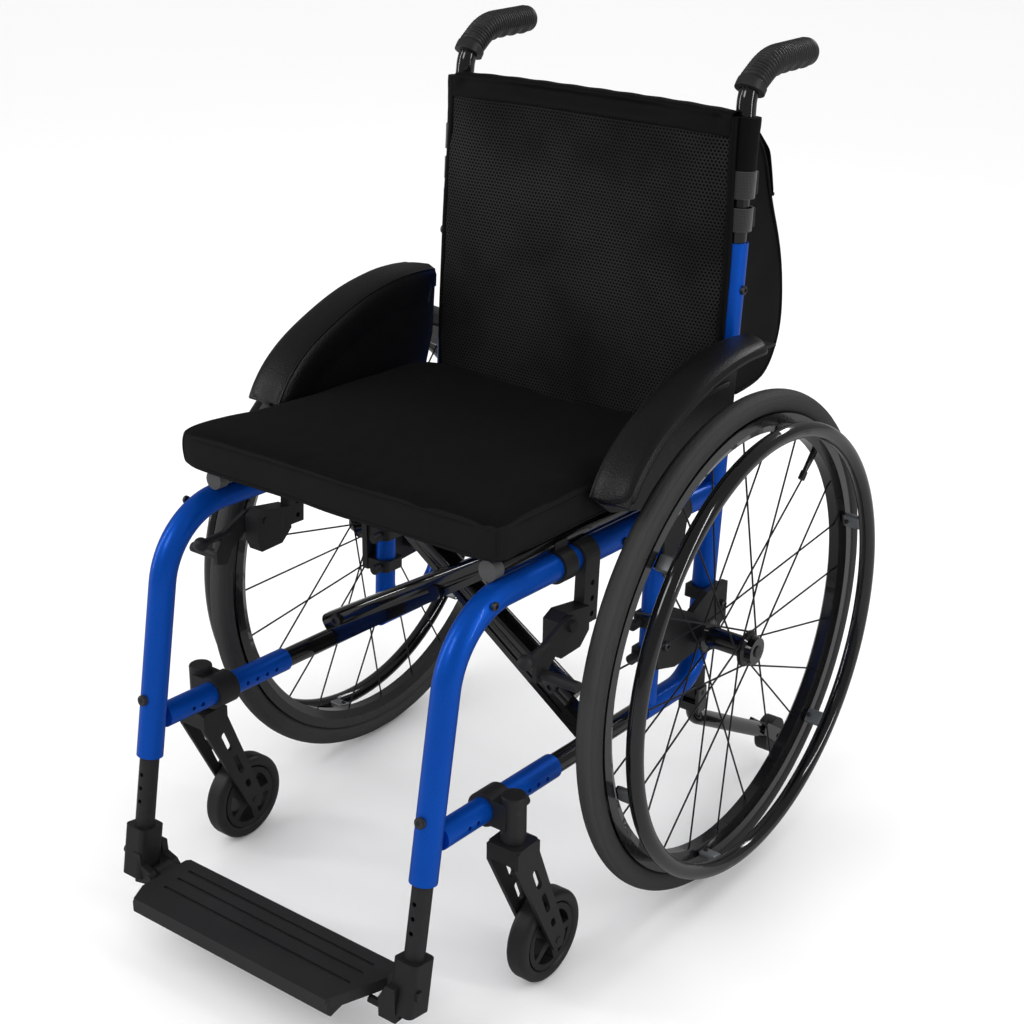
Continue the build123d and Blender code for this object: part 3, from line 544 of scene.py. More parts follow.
def rod(name, points, radius, order=3, sides=5, closed=False, fine=6):
    """A round bar along a smooth line, closed at its ends."""
    clear()
    bpy.ops.curve.primitive_nurbs_path_add(location=(0, 0, 0))
    piece = named(name)
    curve = piece.data
    curve.splines.clear()
    spline = curve.splines.new("NURBS")
    spline.points.add(len(points) - 1)
    for point, where in zip(spline.points, points):
        point.co = (*where, 1)
    spline.order_u = order
    spline.use_cyclic_u = closed
    spline.use_endpoint_u = not closed
    curve.resolution_u = fine
    curve.bevel_depth = radius
    curve.bevel_resolution = sides
    curve.use_fill_caps = not closed
    only(piece)
    bpy.ops.object.convert(target="MESH")
    outward(bpy.context.object)
    return bpy.context.object


def bolt(name, at, way, radius=0.005, height=0.004, socket=True):
    """A button-head screw with a hexagon socket, its head out along way."""
    way = Vector(way).normalized()
    clear()
    turn = way.to_track_quat("Z", "Y").to_euler()
    bpy.ops.mesh.primitive_cylinder_add(vertices=24, radius=radius, depth=height,
                                        location=Vector(at) + way * height / 2, rotation=turn)
    piece = named(name)
    start_edit(piece)
    pick(piece, lambda c, n: c.z > 0 and n.z > 0.9)
    bpy.ops.mesh.inset(thickness=radius * 0.28, depth=height * 0.3)
    if socket:
        bpy.ops.mesh.inset(thickness=radius * 0.22, depth=0)
        mesh = bmesh.from_edit_mesh(piece.data)
        for v in mesh.verts:
            if v.select:
                turn = (math.atan2(v.co.y, v.co.x) + pi / 6) % (pi / 3) - pi / 6
                size = v.co.xy.length * cos(pi / 6) / cos(turn)
                v.co.xy = v.co.xy.normalized() * size
        bmesh.update_edit_mesh(piece.data)
        bpy.ops.mesh.inset(thickness=0.00005, depth=-height * 0.6)
    end_edit()
    return settle(piece)


def copy_to(piece, name, move=(0, 0, 0), mirror=False):
    """A copy with its own mesh, moved, or mirrored to the other side."""
    only(piece)
    bpy.ops.object.duplicate()
    made = named(name)
    if mirror:
        made.scale = (-1, 1, 1)
    made.location = Vector(move)
    settle(made)
    if mirror:
        outward(made, 0.000001)
    return made


CLOTH_STEPS = 20


def inflate(piece, pressure, cap, voxel, pinned=None):
    """Blows the cover up a little as cloth, and keeps each point within cap of where it was."""
    modify(piece, "REMESH", mode="VOXEL", voxel_size=voxel)
    rest = [v.co.copy() for v in piece.data.vertices]
    cloth = piece.modifiers.new("cloth", "CLOTH")
    cloth.settings.quality = 5
    cloth.settings.mass = 0.3
    cloth.settings.tension_stiffness = cloth.settings.compression_stiffness = 18
    cloth.settings.bending_stiffness = 1.2
    cloth.settings.use_pressure = True
    cloth.settings.uniform_pressure_force = pressure
    cloth.settings.effector_weights.gravity = 0
    if pinned:
        group = piece.vertex_groups.new(name="held")
        group.add([v.index for v in piece.data.vertices if pinned(v.co)], 1.0, "REPLACE")
        cloth.settings.vertex_group_mass = "held"
    for step in range(1, CLOTH_STEPS + 1):
        bpy.context.scene.frame_set(step)
    depsgraph = bpy.context.evaluated_depsgraph_get()
    blown = [v.co.copy() for v in piece.evaluated_get(depsgraph).data.vertices]
    piece.modifiers.remove(cloth)
    bpy.context.scene.frame_set(1)
    for vertex, was, now in zip(piece.data.vertices, rest, blown):
        move = now - was
        if move.length > cap:
            move *= cap / move.length
        vertex.co = was + move
    piece.vertex_groups.clear()
    piece.data.update()


# ------------------------------------------------------------------- seat cushion
CUSHION = dict(half=0.2125, front=-0.2460, back=0.161, thick=0.048, corner=0.020)


def cushion_floor(y):
    """Underside of the cushion, on the sling."""
    return rail_top(y) + 0.0245 + 0.0101 + 0.003


def cushion_point(p, dip, crown):
    """Rounds the plain block into the cushion: pulled-in sides, bowed front, dished back."""
    c = CUSHION
    mid = (c["front"] + c["back"]) / 2
    half_y = (c["back"] - c["front"]) / 2
    u, v = p.x / c["half"], (p.y - mid) / half_y
    w = p.z / c["thick"]
    # plan: sides pull in between the corners, corners are rounded
    pull = 0.003
    wide = 0.0045 * ease(0.05, -0.12, p.y) if p.y < 0.05 else 0.0
    x = p.x + math.copysign(wide - pull * (1 - v * v), u) * abs(u) ** 3
    y = p.y - math.copysign(pull * (1 - u * u), v) * abs(v) ** 3
    if v < 0:
        y -= 0.011 * (1 - u * u) * v * v
    ax, ay = c["half"] - c["corner"], half_y - c["corner"]
    dx, dy = abs(x) - ax, abs(y - mid) - ay
    if dx > 0 and dy > 0:
        far = math.hypot(dx, dy)
        square = max(dx, dy)
        if far > 0:
            x = math.copysign(ax + dx * square / far, x)
            y = mid + math.copysign(ay + dy * square / far, y - mid)
    # the front right corner has crept out and forward
    reach = ease(-0.35, -1.0, v) * ease(0.2, 1.0, -u)
    x -= 0.0115 * reach
    y -= 0.0075 * reach
    # side walls bulge at half height
    bulge = 0.0022 * (1 - (2 * w - 1) ** 2)
    x += math.copysign(bulge, u) * abs(u) ** 6
    y += math.copysign(bulge, v) * abs(v) ** 6
    top = crown * (1 - u * u) * (1 - v * v)
    seat = dip * math.exp(-((u / 0.62) ** 2) - ((v - 0.42) / 0.55) ** 2)
    edge = 0.004 * (abs(u) ** 8 + abs(v) ** 8)
    z = cushion_floor(y) + p.z + w * (top - seat - edge)
    return Vector((x, y, z))


def ring_on(piece, name, height, radius):
    """A stitched seam cord that follows the cushion's side at a share of its height."""
    c, sizes = CUSHION, bpy.context.scene.chair_cloth
    points = []
    half_y = (c["back"] - c["front"]) / 2
    mid = (c["front"] + c["back"]) / 2
    for n in range(96):
        a = 2 * pi * n / 96
        ca, sa = cos(a), sin(a)
        m = max(abs(ca), abs(sa))
        flat = Vector((ca / m * c["half"], mid + sa / m * half_y, height * c["thick"]))
        points.append(cushion_point(flat, sizes.cushion_dip, sizes.cushion_crown))
    clear()
    bpy.ops.mesh.primitive_circle_add(vertices=96, radius=1)
    line = named(name)
    for vertex, q in zip(line.data.vertices, points):
        vertex.co = q
    where = [on_surface(piece, v.co) for v in line.data.vertices]
    bpy.data.objects.remove(line)
    return rod(name, where, radius, order=3, sides=3, closed=True, fine=3)


def on_surface(piece, point):
    """The nearest point of a piece's skin."""
    return piece.closest_point_on_mesh(Vector(point))[1]


def make_cushion():
    c, sizes = CUSHION, bpy.context.scene.chair_cloth
    pad = block("seat_pad", (-c["half"], c["front"], 0), (c["half"], c["back"], c["thick"]), (36, 36, 6))
    shape(pad, lambda p: cushion_point(p, sizes.cushion_dip, sizes.cushion_crown))
    modify(pad, "BEVEL", width=0.007, segments=4, limit_method="ANGLE", angle_limit=radians(50))
    inflate(pad, 3.2, sizes.puff, sizes.voxel)
    floor = [cushion_floor(v.co.y) for v in pad.data.vertices]
    for v, low in zip(pad.data.vertices, floor):
        v.co.z = max(v.co.z, low - 0.0008)
        between = 0.2162 + 0.006 * ease(-0.085, -0.115, v.co.y) if v.co.y > -0.115 else 0.2225
        outer = between + 0.012 * ease(-0.115, -0.150, v.co.y)
        v.co.x = max(-outer, min(between, v.co.x))
        crinkle = noise.noise(Vector((v.co.x * 40, v.co.y * 16, v.co.z * 60)))
        ripple = noise.fractal(v.co * 14, 1.0, 2.0, 3) * 0.0012 + crinkle * 0.0004
        if v.co.z > low + 0.004:
            v.co.z += ripple * 0.8
            v.co.y += ripple * 0.5 * (1 if v.co.y > 0 else -1)
    modify(pad, "SUBSURF", levels=1, render_levels=1)
    pieces = [pad,
              ring_on(pad, "seat_pad_seam_top", 0.9, 0.0009),
              ring_on(pad, "seat_pad_seam_low", 0.1, 0.0009)]
    foot = cushion_floor(c["front"]) + 0.006
    for side, s in SIDES:
        corner = (s * (c["half"] + 0.004), c["front"] - 0.004)
        near = [on_surface(pad, (*corner, foot + 0.036 * n / 7)) for n in range(8)]
        pieces.append(rod(f"seat_pad_corner_{side}", near, 0.0009, sides=3))
    for piece in pieces:
        dress(piece, "seat", "cushion_cloth", 0)
        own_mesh(piece)
    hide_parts("seat_cushion")


# --------------------------------------------------------------------- seat sling
def make_sling():
    front, back, half = -0.213, 0.145, 0.1955

    def lay(p):
        x, y = (p.x * 2 - 1) * half, front + (back - front) * p.y
        z = rail_top(y) + 0.0245 + 0.0113
        over = max(0.0, abs(x) - 0.1885)
        z -= over * over / 0.012 + 0.0011 * (1 - (x / half) ** 2)
        return Vector((x, y, z))
    sling = sheet_grid("seat_cloth", 40, 40)
    shape(sling, lay)
    modify(sling, "SOLIDIFY", thickness=0.0018, offset=0)
    pieces = [sling]
    for name, y in (("front", front + 0.006), ("rear", back - 0.006)):
        line = [(half * (n / 6 * 2 - 1) * 0.985, y, rail_top(y) + 0.0353) for n in range(7)]
        pieces.append(rod(f"seat_hem_{name}", line, 0.0017, sides=3))
    for piece in pieces:
        dress(piece, "seat", "nylon_cloth", 40)
        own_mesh(piece)
    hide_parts("seat_sling")


# ----------------------------------------------------------------- back upholstery
BACK = dict(low=0.508, high=0.884, half=0.1995)


def back_front(x, z):
    """Front face of the back upholstery: slung a little hollow between the canes."""
    c = BACK
    u = min(1.0, abs(x) / 0.19)
    t = (z - c["low"]) / (c["high"] - c["low"])
    hollow = 0.0055 * (1 - u * u) * (0.55 + 0.45 * sin(pi * min(1, max(0, t))))
    wrap = max(0.0, abs(x) - 0.186)
    return cane_y(z) - 0.0215 + hollow + wrap * wrap * 14


def back_narrow(z):
    """How much narrower than its full width the back is at a height."""
    return 0.0065 * ease(0.7, 0.884, z) + 0.0035 * (1 - ease(0.508, 0.6, z))


def make_back():
    c = BACK
    pad = block("back_pad", (-c["half"], 0, c["low"]), (c["half"], 1, c["high"]), (36, 3, 36))

    def form(p):
        x = p.x * (1 - back_narrow(p.z) / c["half"])
        front = back_front(x, p.z)
        deep = 0.0215 if abs(x) < 0.165 else 0.0065
        if 0.165 <= abs(x) < 0.18:
            deep = 0.0065 + 0.015 * (1 - ease(0.165, 0.176, abs(x)))
        z = p.z - 0.003 * abs(x / c["half"]) ** 4 * ease(0.8, 0.884, p.z)
        round_top = ease(0.862, 0.884, p.z) * 0.004
        return Vector((x, front + round_top * (1 - p.y) + (deep - round_top) * p.y, z))
    shape(pad, form)
    modify(pad, "BEVEL", width=0.0025, segments=2, limit_method="ANGLE", angle_limit=radians(50))
    inflate(pad, 2.0, 0.0028, 0.005, pinned=lambda p: abs(p.x) > 0.188 or p.y > cane_y(p.z) - 0.004)
    for v in pad.data.vertices:
        if v.co.y < cane_y(v.co.z) - 0.010:
            fold = noise.fractal(Vector((v.co.x * 9, 0, v.co.z * 6)), 1.0, 2.0, 3)
            v.co.y += fold * 0.0014
    modify(pad, "SUBSURF", levels=1, render_levels=1)

    # plain cloth rolled over the top edge
    top = c["high"]
    roll = sheet_grid("back_top_roll", 48, 14)

    def fold_over(p):
        x = (p.x * 2 - 1) * 0.1915
        turn = p.y
        z0 = top - 0.0025 * abs(x / 0.19) ** 4
        if turn < 0.42:
            z = z0 - 0.024 * (1 - turn / 0.42)
            before = Vector((max(-0.188, min(0.188, x)), -1, min(z, top - 0.007)))
            hit, place, _, _ = pad.ray_cast(before, Y_AXIS)
            y = (place.y if hit else back_front(x, z)) - 0.0009
        elif turn < 0.62:
            a = (turn - 0.42) / 0.2 * pi
            mid = back_front(x, z0) + 0.0095
            z = z0 + 0.0032 * sin(a)
            y = mid - 0.0107 * cos(a)
        else:
            z = z0 - 0.03 * (turn - 0.62) / 0.38
            y = back_front(x, z) + 0.0225
        z += 0.0004 * sin(x * 160)
        return Vector((x, y, z))
    shape(roll, fold_over)
    modify(roll, "SOLIDIFY", thickness=0.0014, offset=0)
    modify(roll, "SUBSURF", levels=1, render_levels=1)

    # bound side edges
    tapes = []
    for side, s in SIDES:
        line = []
        for n in range(14):
            z = c["low"] + 0.004 + (c["high"] - c["low"] - 0.008) * n / 13
            x = (c["half"] - back_narrow(z)) - 0.0008
            line.append((s * x, back_front(x, z) + 0.0034, z))
        tapes.append(rod(f"back_edge_{side}", line, 0.0044, sides=5, fine=4))
    for piece in (pad, roll, *tapes):
        slot, material = ("mesh_fabric", "spacer_mesh") if piece is pad else ("nylon", "nylon_cloth")
        dress(piece, "frame_right", material, 0)
        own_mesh(piece)
    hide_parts("back_upholstery")


def make_straps():
    """Webbing loops with buckles that hold the back to the canes, and the sleeves above them."""
    for side, s in SIDES:
        around = 0.0150 if s > 0 else 0.0134
        line = [(s * SIDE_X, cane_y(z), z) for z in (0.815, 0.832, 0.85, 0.866, 0.878)]
        sleeve = rod(f"cane_sleeve_{side}", line, around - 0.0002, sides=8)
        shape(sleeve, lambda p: p + Vector((noise.noise(p * 60) * 0.0008, noise.noise(p * 55) * 0.0012, 0)))
        dress(sleeve, f"frame_{side}", "nylon_cloth", 60)
        for number, (z, tall) in enumerate(((0.806, 0.030), (0.768, 0.026))):
            y = cane_y(z)
            clear()
            bpy.ops.mesh.primitive_cylinder_add(vertices=32, radius=around, depth=tall, end_fill_type="NOTHING",
                                                location=(s * SIDE_X, y, z), rotation=(-math.atan(CANE_LEAN), 0, 0))
            strap = settle(named(f"cane_strap_{side}_{number + 1}"))
            modify(strap, "SOLIDIFY", thickness=0.0014, offset=0)
            modify(strap, "BEVEL", width=0.0005, segments=2, limit_method="ANGLE")
            dress(strap, f"frame_{side}", "webbing", 40)
            middle = s * (SIDE_X + 0.008)
            bar = block(f"cane_buckle_{side}_{number + 1}", (middle - 0.004, y + 0.0105, z - tall * 0.42),
                        (middle + 0.004, y + 0.0165, z + tall * 0.42), bevel=0.0014)
            dress(bar, f"frame_{side}", "moulded_black", 35)


# --------------------------------------------------------------------- rear pocket
# the bag's side edge as (y, z), and its back line as (z, y)
BAG_EDGE = [(0.240, 0.868), (0.257, 0.862), (0.288, 0.827), (0.306, 0.772), (0.342, 0.705),
            (0.358, 0.640), (0.357, 0.598), (0.334, 0.560), (0.304, 0.543), (0.26, 0.541)]
BAG_BACK = [(0.543, 0.300), (0.560, 0.334), (0.598, 0.356), (0.640, 0.357),
            (0.705, 0.341), (0.772, 0.306), (0.827, 0.288), (0.862, 0.252)]


def pocket_back(z):
    """Back line of the bag at a height."""
    line = BAG_BACK
    if z <= line[0][0]:
        return line[0][1]
    for (z0, y0), (z1, y1) in zip(line, line[1:]):
        if z <= z1:
            return y0 + (y1 - y0) * (z - z0) / (z1 - z0)
    return line[-1][1]


def make_pocket():
    half = 0.1845
    bag = block("back_bag", (-half, 0, 0.543), (half, 1, 0.862), (36, 6, 36))

    def form(p):
        y0, y1 = cane_y(p.z) + 0.0165, pocket_back(p.z)
        u = p.x / half
        sag = 0.010 * (1 - abs(u) ** 3) * ease(0.543, 0.66, p.z) * (1 - ease(0.76, 0.86, p.z))
        inset = 0.004 * (1 - (2 * p.y - 1) ** 2)
        y = y0 + (y1 - y0 + sag * 0.4 - 0.006 * (1 - abs(u) ** 4)) * p.y
        x = p.x - math.copysign(inset, u) * abs(u) ** 5
        crease = noise.fractal(Vector((p.x * 11, p.y * 3, p.z * 17)), 1.0, 2.1, 4)
        y += crease * 0.0042 * p.y
        x += crease * 0.0020 * abs(u) ** 5 * math.copysign(1, u)
        z = p.z - 0.006 * (1 - u * u) * (1 - ease(0.543, 0.62, p.z))
        return Vector((min(0.187, max(-0.187, x)), y, z + 0.002))
    shape(bag, form)
    modify(bag, "SUBSURF", levels=1, render_levels=1)
    pieces = [bag]
    # bound edges down both sides
    for side, s in SIDES:
        outline = [on_surface(bag, (s * 0.186, y, z)) for y, z in BAG_EDGE]
        pieces.append(rod(f"bag_binding_{side}", outline, 0.0026, sides=4, fine=5))
    # flap over the opening
    flap = sheet_grid("bag_flap", 32, 16)
    flap_top, flap_drop = 0.872, 0.098

    def hang(p):
        x = (p.x * 2 - 1) * 0.1855
        z = flap_top - flap_drop * p.y
        y = max(pocket_back(z) + 0.0045, cane_y(z) + 0.018) if p.y > 0.06 else cane_y(z) + 0.018
        y += noise.noise(Vector((x * 13, z * 11, 3.3))) * 0.002 + 0.002 * sin(pi * p.y)
        return Vector((x, y, z))
    shape(flap, hang)
    modify(flap, "SOLIDIFY", thickness=0.0016, offset=0)
    modify(flap, "SUBSURF", levels=1, render_levels=1)
    pieces.append(flap)
    hem_z = flap_top - flap_drop
    line = [((n / 8 * 2 - 1) * 0.1845, pocket_back(hem_z) + 0.0052, hem_z) for n in range(9)]
    hem = rod("bag_flap_hem", line, 0.0022, sides=3)
    pieces.append(hem)
    for piece in pieces:
        dress(piece, "frame_right", "nylon_cloth", 0 if piece is bag else 50)
        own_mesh(piece)
    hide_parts("back_pocket")


# -------------------------------------------------------------------------- grips
def bent_line(corners, radii, step):
    """Points about step apart along straight runs joined by arcs."""
    pts = [Vector(c) for c in corners]
    line = [pts[0]]
    for before, at, after, r in zip(pts, pts[1:], pts[2:], radii):
        a, b = (before - at).normalized(), (after - at).normalized()
        half = a.angle(b) / 2
        cut = r / tan(half)
        centre = at + (a + b).normalized() * (r / sin(half))
        p, q = at + a * cut - centre, at + b * cut - centre
        count = max(4, int(r * p.angle(q) / step))
        arc = p.cross(q).normalized()
        line += [centre + Matrix.Rotation(p.angle(q) * n / count, 3, arc) @ p for n in range(count + 1)]
    line.append(pts[-1])
    out, carry = [line[0]], 0.0
    for p, q in zip(line, line[1:]):
        length, along = (q - p).length, step - carry
        while along <= length:
            out.append(p.lerp(q, along / length))
            along += step
        carry = length - (along - step)
    return out


GRIP_STEP, GRIP_SIDES = 0.0005, 36


def make_grips():
    sizes = bpy.context.scene.chair_grips
    x = SIDE_X
    corners = [(x, cane_y(0.640), 0.640), (x, cane_y(0.760), 0.760), (x - 0.006, cane_y(0.905) + 0.004, 0.905),
               (x - 0.004, 0.262, 0.931), (x - 0.0035, 0.3500, 0.931)]
    line = bent_line(corners, (0.100, 0.032, 0.060), GRIP_STEP)
    line = [p for p in line if p.z > 0.9035 or p.y > 0.25]
    total = len(line) - 1
    clear()
    bpy.ops.mesh.primitive_circle_add(vertices=GRIP_SIDES, radius=sizes.radius, fill_type="NOTHING")
    grip = settle(named("hand_grip_left"))
    start_edit(grip, "EDGE")
    bpy.ops.mesh.select_all(action="SELECT")
    for n in range(total):
        bpy.ops.mesh.extrude_region_move()
    end_edit()
    for n, p in enumerate(line):
        way = (line[min(total, n + 4)] - line[max(0, n - 4)]).normalized()
        side = X_AXIS
        up = way.cross(side).normalized() * -1
        if up.z < 0 or (abs(up.z) < 0.3 and up.y > 0):
            up = -up
        dist, left = n * GRIP_STEP, (total - n) * GRIP_STEP
        for k in range(GRIP_SIDES):
            a = 2 * pi * k / GRIP_SIDES
            above = cos(a)
            r = sizes.radius
            if dist < 0.010:
                r += 0.0016 * (1 - ease(0.008, 0.010, dist))
            elif left > 0.009:
                rib = 0.5 + 0.5 * cos(2 * pi * dist / sizes.rib_pitch)
                r += (0.0009 - 0.0019 * (1 - rib) ** 2.5) * ease(-0.45, -0.1, above)
                wave = 0.5 - 0.5 * cos(2 * pi * (dist - 0.03) / sizes.wave_pitch)
                hold = ease(0.035, 0.045, dist) * ease(0.009, 0.018, left)
                r += (0.0012 - sizes.wave * wave) * ease(0.1, 0.75, -above) * hold
            if left < 0.006:
                r -= 0.006 - math.sqrt(max(0.0, 0.006 ** 2 - (0.006 - left) ** 2))
            grip.data.vertices[n * GRIP_SIDES + k].co = p + (side * sin(a) + up * above) * r
    start_edit(grip, "EDGE")
    bpy.ops.mesh.select_non_manifold()
    bpy.ops.mesh.edge_face_add()
    end_edit()
    outward(grip)
    other = copy_to(grip, "hand_grip_right", mirror=True)
    for piece, side in ((grip, "left"), (other, "right")):
        dress(piece, f"frame_{side}", "grip_skin", 60)
        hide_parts(f"push_grip_{side}")


# -------------------------------------------------------------------------- wheels
def make_tyres():
    sizes = bpy.context.scene.chair_tyres
    middle = sizes.radius - sizes.section
    clear()
    bpy.ops.mesh.primitive_circle_add(vertices=64, radius=sizes.section, rotation=(pi / 2, 0, 0),
                                      location=(AXLE.x, AXLE.y, AXLE.z + middle))
    tyre = settle(named("tyre_left"))

    def tread(p):
        off = Vector((p.x - AXLE.x, 0, p.z - AXLE.z - middle))
        a = math.degrees(math.atan2(off.x, off.z))
        r = sizes.section
        if abs(a) < 52:
            groove = max(0.0, cos(radians(a * 360 / 13.0)))
            r -= 0.0006 * groove ** 3
        elif 58 < abs(a) < 66:
            r -= 0.0004
        elif abs(a) > 120:
            r -= 0.0004
        return Vector((AXLE.x, AXLE.y, AXLE.z + middle)) + off.normalized() * r
    shape(tyre, tread)
    start_edit(tyre, "EDGE")
    bpy.ops.mesh.select_all(action="SELECT")
    bpy.ops.mesh.spin(steps=sizes.steps, angle=2 * pi, center=AXLE, axis=X_AXIS)
    end_edit()
    outward(tyre, 0.00005)
    other = copy_to(tyre, "tyre_right", mirror=True)
    for piece, side, s in ((tyre, "left", 1), (other, "right", -1)):
        dress(piece, f"wheel_{side}", f"tyre_rubber_{side}", 50)
        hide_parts(f"rear_tyre_{side}")


def make_wheel_fittings():
    """Sleeves and screws that hold the handrims, and the valve caps."""
    for side, s in SIDES:
        body = f"wheel_{side}"
        for n in range(6):
            a = radians(60 * n + 17)
            out = Vector((0, cos(a), sin(a)))
            along = Vector((0, -sin(a), cos(a)))
            low, high = 0.2805, 0.3015
            sleeve = block(f"rim_sleeve_{side}_{n + 1}", (-0.5, -0.5, -0.5), (0.5, 0.5, 0.5))
            shape(sleeve, lambda p: Vector((s * (low + (high - low) * (p.x * s + 0.5)), 0, 0))
                  + Vector((0, AXLE.y, AXLE.z)) + out * (0.256 + p.z * 0.0072) + along * (p.y * 0.0185))
            outward(sleeve, 0.00001)
            modify(sleeve, "BEVEL", width=0.0022, segments=3, limit_method="ANGLE")
            dress(sleeve, body, "grey_plate")
            at = Vector((s * 0.2845, AXLE.y, AXLE.z)) + out * 0.2525
            screw = bolt(f"rim_screw_{side}_{n + 1}", at, -out, 0.003, 0.002)
            dress(screw, body, "dark_steel")
        a = radians(47)
        out = Vector((0, cos(a), sin(a)))
        hub = Vector((s * AXLE.x, AXLE.y, AXLE.z))
        cap = rod(f"valve_cap_{side}", [hub + out * r for r in (0.2235, 0.2215, 0.2165, 0.2135)], 0.0042, sides=4)
        dress(cap, body, "moulded_black")


# ------------------------------------------------------------------------- guards
def guard_arch(t):
    """Top line of the guard, from its front end to its rear tip."""
    line = [(-0.097, 0.541), (-0.080, 0.566), (-0.046, 0.594), (0.002, 0.617),
            (0.060, 0.636), (0.125, 0.645), (0.190, 0.642)]
    at = t * (len(line) - 1)
    n = min(len(line) - 2, int(at))
    f = at - n
    before = Vector(line[max(0, n - 1)])
    a, b = Vector(line[n]), Vector(line[n + 1])
    after = Vector(line[min(len(line) - 1, n + 2)])
    square = 2 * before - 5 * a + 4 * b - after
    cube = 3 * a - before - 3 * b + after
    return 0.5 * (2 * a + (b - before) * f + square * f * f + cube * f ** 3)


def make_guards():
    """Mudguards with a rolled outer lip, a rounded shoulder and ribbed inner panel."""
    shoulder = 0.2245
    section = [(0.2176, -0.040), (0.2176, -0.014), (0.2182, -0.0062), (0.2205, -0.0018), (shoulder, 0.0),
               (0.2330, 0.0010), (0.2440, 0.0016), (0.2545, 0.0014), (0.2600, 0.0004),
               (0.2635, -0.0018), (0.2650, -0.0050), (0.2646, -0.0076)]
    steps = 72
    shell = sheet_grid("guard_left", steps, len(section) - 1)

    def lay(p):
        n = min(len(section) - 1, round(p.y * (len(section) - 1)))
        t = min(1.0, max(0.0, p.x))
        here, ahead = guard_arch(max(0, t - 0.01)), guard_arch(min(1, t + 0.01))
        out = Vector((-(ahead - here).y, (ahead - here).x)).normalized()
        if out.y < 0:
            out = -out
        x, lift = section[n]
        # both ends are rounded in plan
        end = min(t, 1 - t) * 6
        if end < 0.55 and x > shoulder:
            arc = math.sqrt(max(0.0, 1 - (1 - end / 0.55) ** 2))
            x = shoulder + (x - shoulder) * arc * 0.55 + (x - shoulder) * 0.45 * min(1, end / 0.55 + 0.35)
        if n < 2:
            lift *= 1.0 if 0.1 < t < 0.97 else 0.55
        where = guard_arch(t) + out * (lift - 0.0004)
        return Vector((x, where.x, where.y))
    shape(shell, lay)
    outward(shell, 0.00001)
    modify(shell, "SOLIDIFY", thickness=0.0028, offset=-1 if shell.data.polygons[0].normal.x > 0 else 1)
    modify(shell, "BEVEL", width=0.0008, segments=2, limit_method="ANGLE")
    ribs = []
    for n in range(9):
        t = 0.60 + 0.042 * n
        top = guard_arch(t)
        low, high = (0.2203, top.x - 0.0013, top.y - 0.034), (0.2290, top.x + 0.0013, top.y - 0.0035)
        ribs.append(block(f"guard_rib_left_{n + 1}", low, high, bevel=0.0006))
    rail = block("guard_rail_left", (0.2203, 0.050, 0.590), (0.2235, 0.168, 0.5945), bevel=0.0008)
    for piece in (shell, rail, *ribs):
        other = copy_to(piece, piece.name.replace("left", "right"), mirror=True)
        for made, side in ((piece, "left"), (other, "right")):
            dress(made, f"frame_{side}", "guard_skin", 40)


# ------------------------------------------------------------------------ fittings
def make_fittings():
    """Screw heads on the frame."""
    for side, s in SIDES:
        body = f"frame_{side}"
        z = 0.268
        front = Vector((0, -1, 0.183)).normalized()
        out = (s, 0, 0)
        on_cane, on_rail, on_plate = SIDE_X + 0.0138, SIDE_X + 0.0148, SIDE_X + 0.0228
        spots = [
            ("post_screw", Vector((s * SIDE_X, post_y(z), z)) + front * 0.0146, front, 0.0062, 0.0035),
            ("cane_screw_upper", Vector((s * on_cane, cane_y(0.690), 0.690)), out, 0.0052, 0.003),
            ("rail_screw_front", Vector((s * on_rail, -0.250, rail_top(-0.250))), out, 0.0046, 0.0028),
            ("saddle_screw", Vector((s * on_rail, -0.020, rail_top(-0.020))), out, 0.0046, 0.0028),
            ("axle_screw_front", Vector((s * on_plate, 0.060, 0.307)), out, 0.0055, 0.004),
            ("axle_screw_rear", Vector((s * on_plate, 0.184, 0.312)), out, 0.0055, 0.004),
            ("guard_screw", Vector((s * 0.2202, 0.069, 0.404)), out, 0.005, 0.0032),
        ]
        for name, at, way, radius, height in spots:
            dress(bolt(f"{name}_{side}", at, way, radius, height), body, "dark_steel")


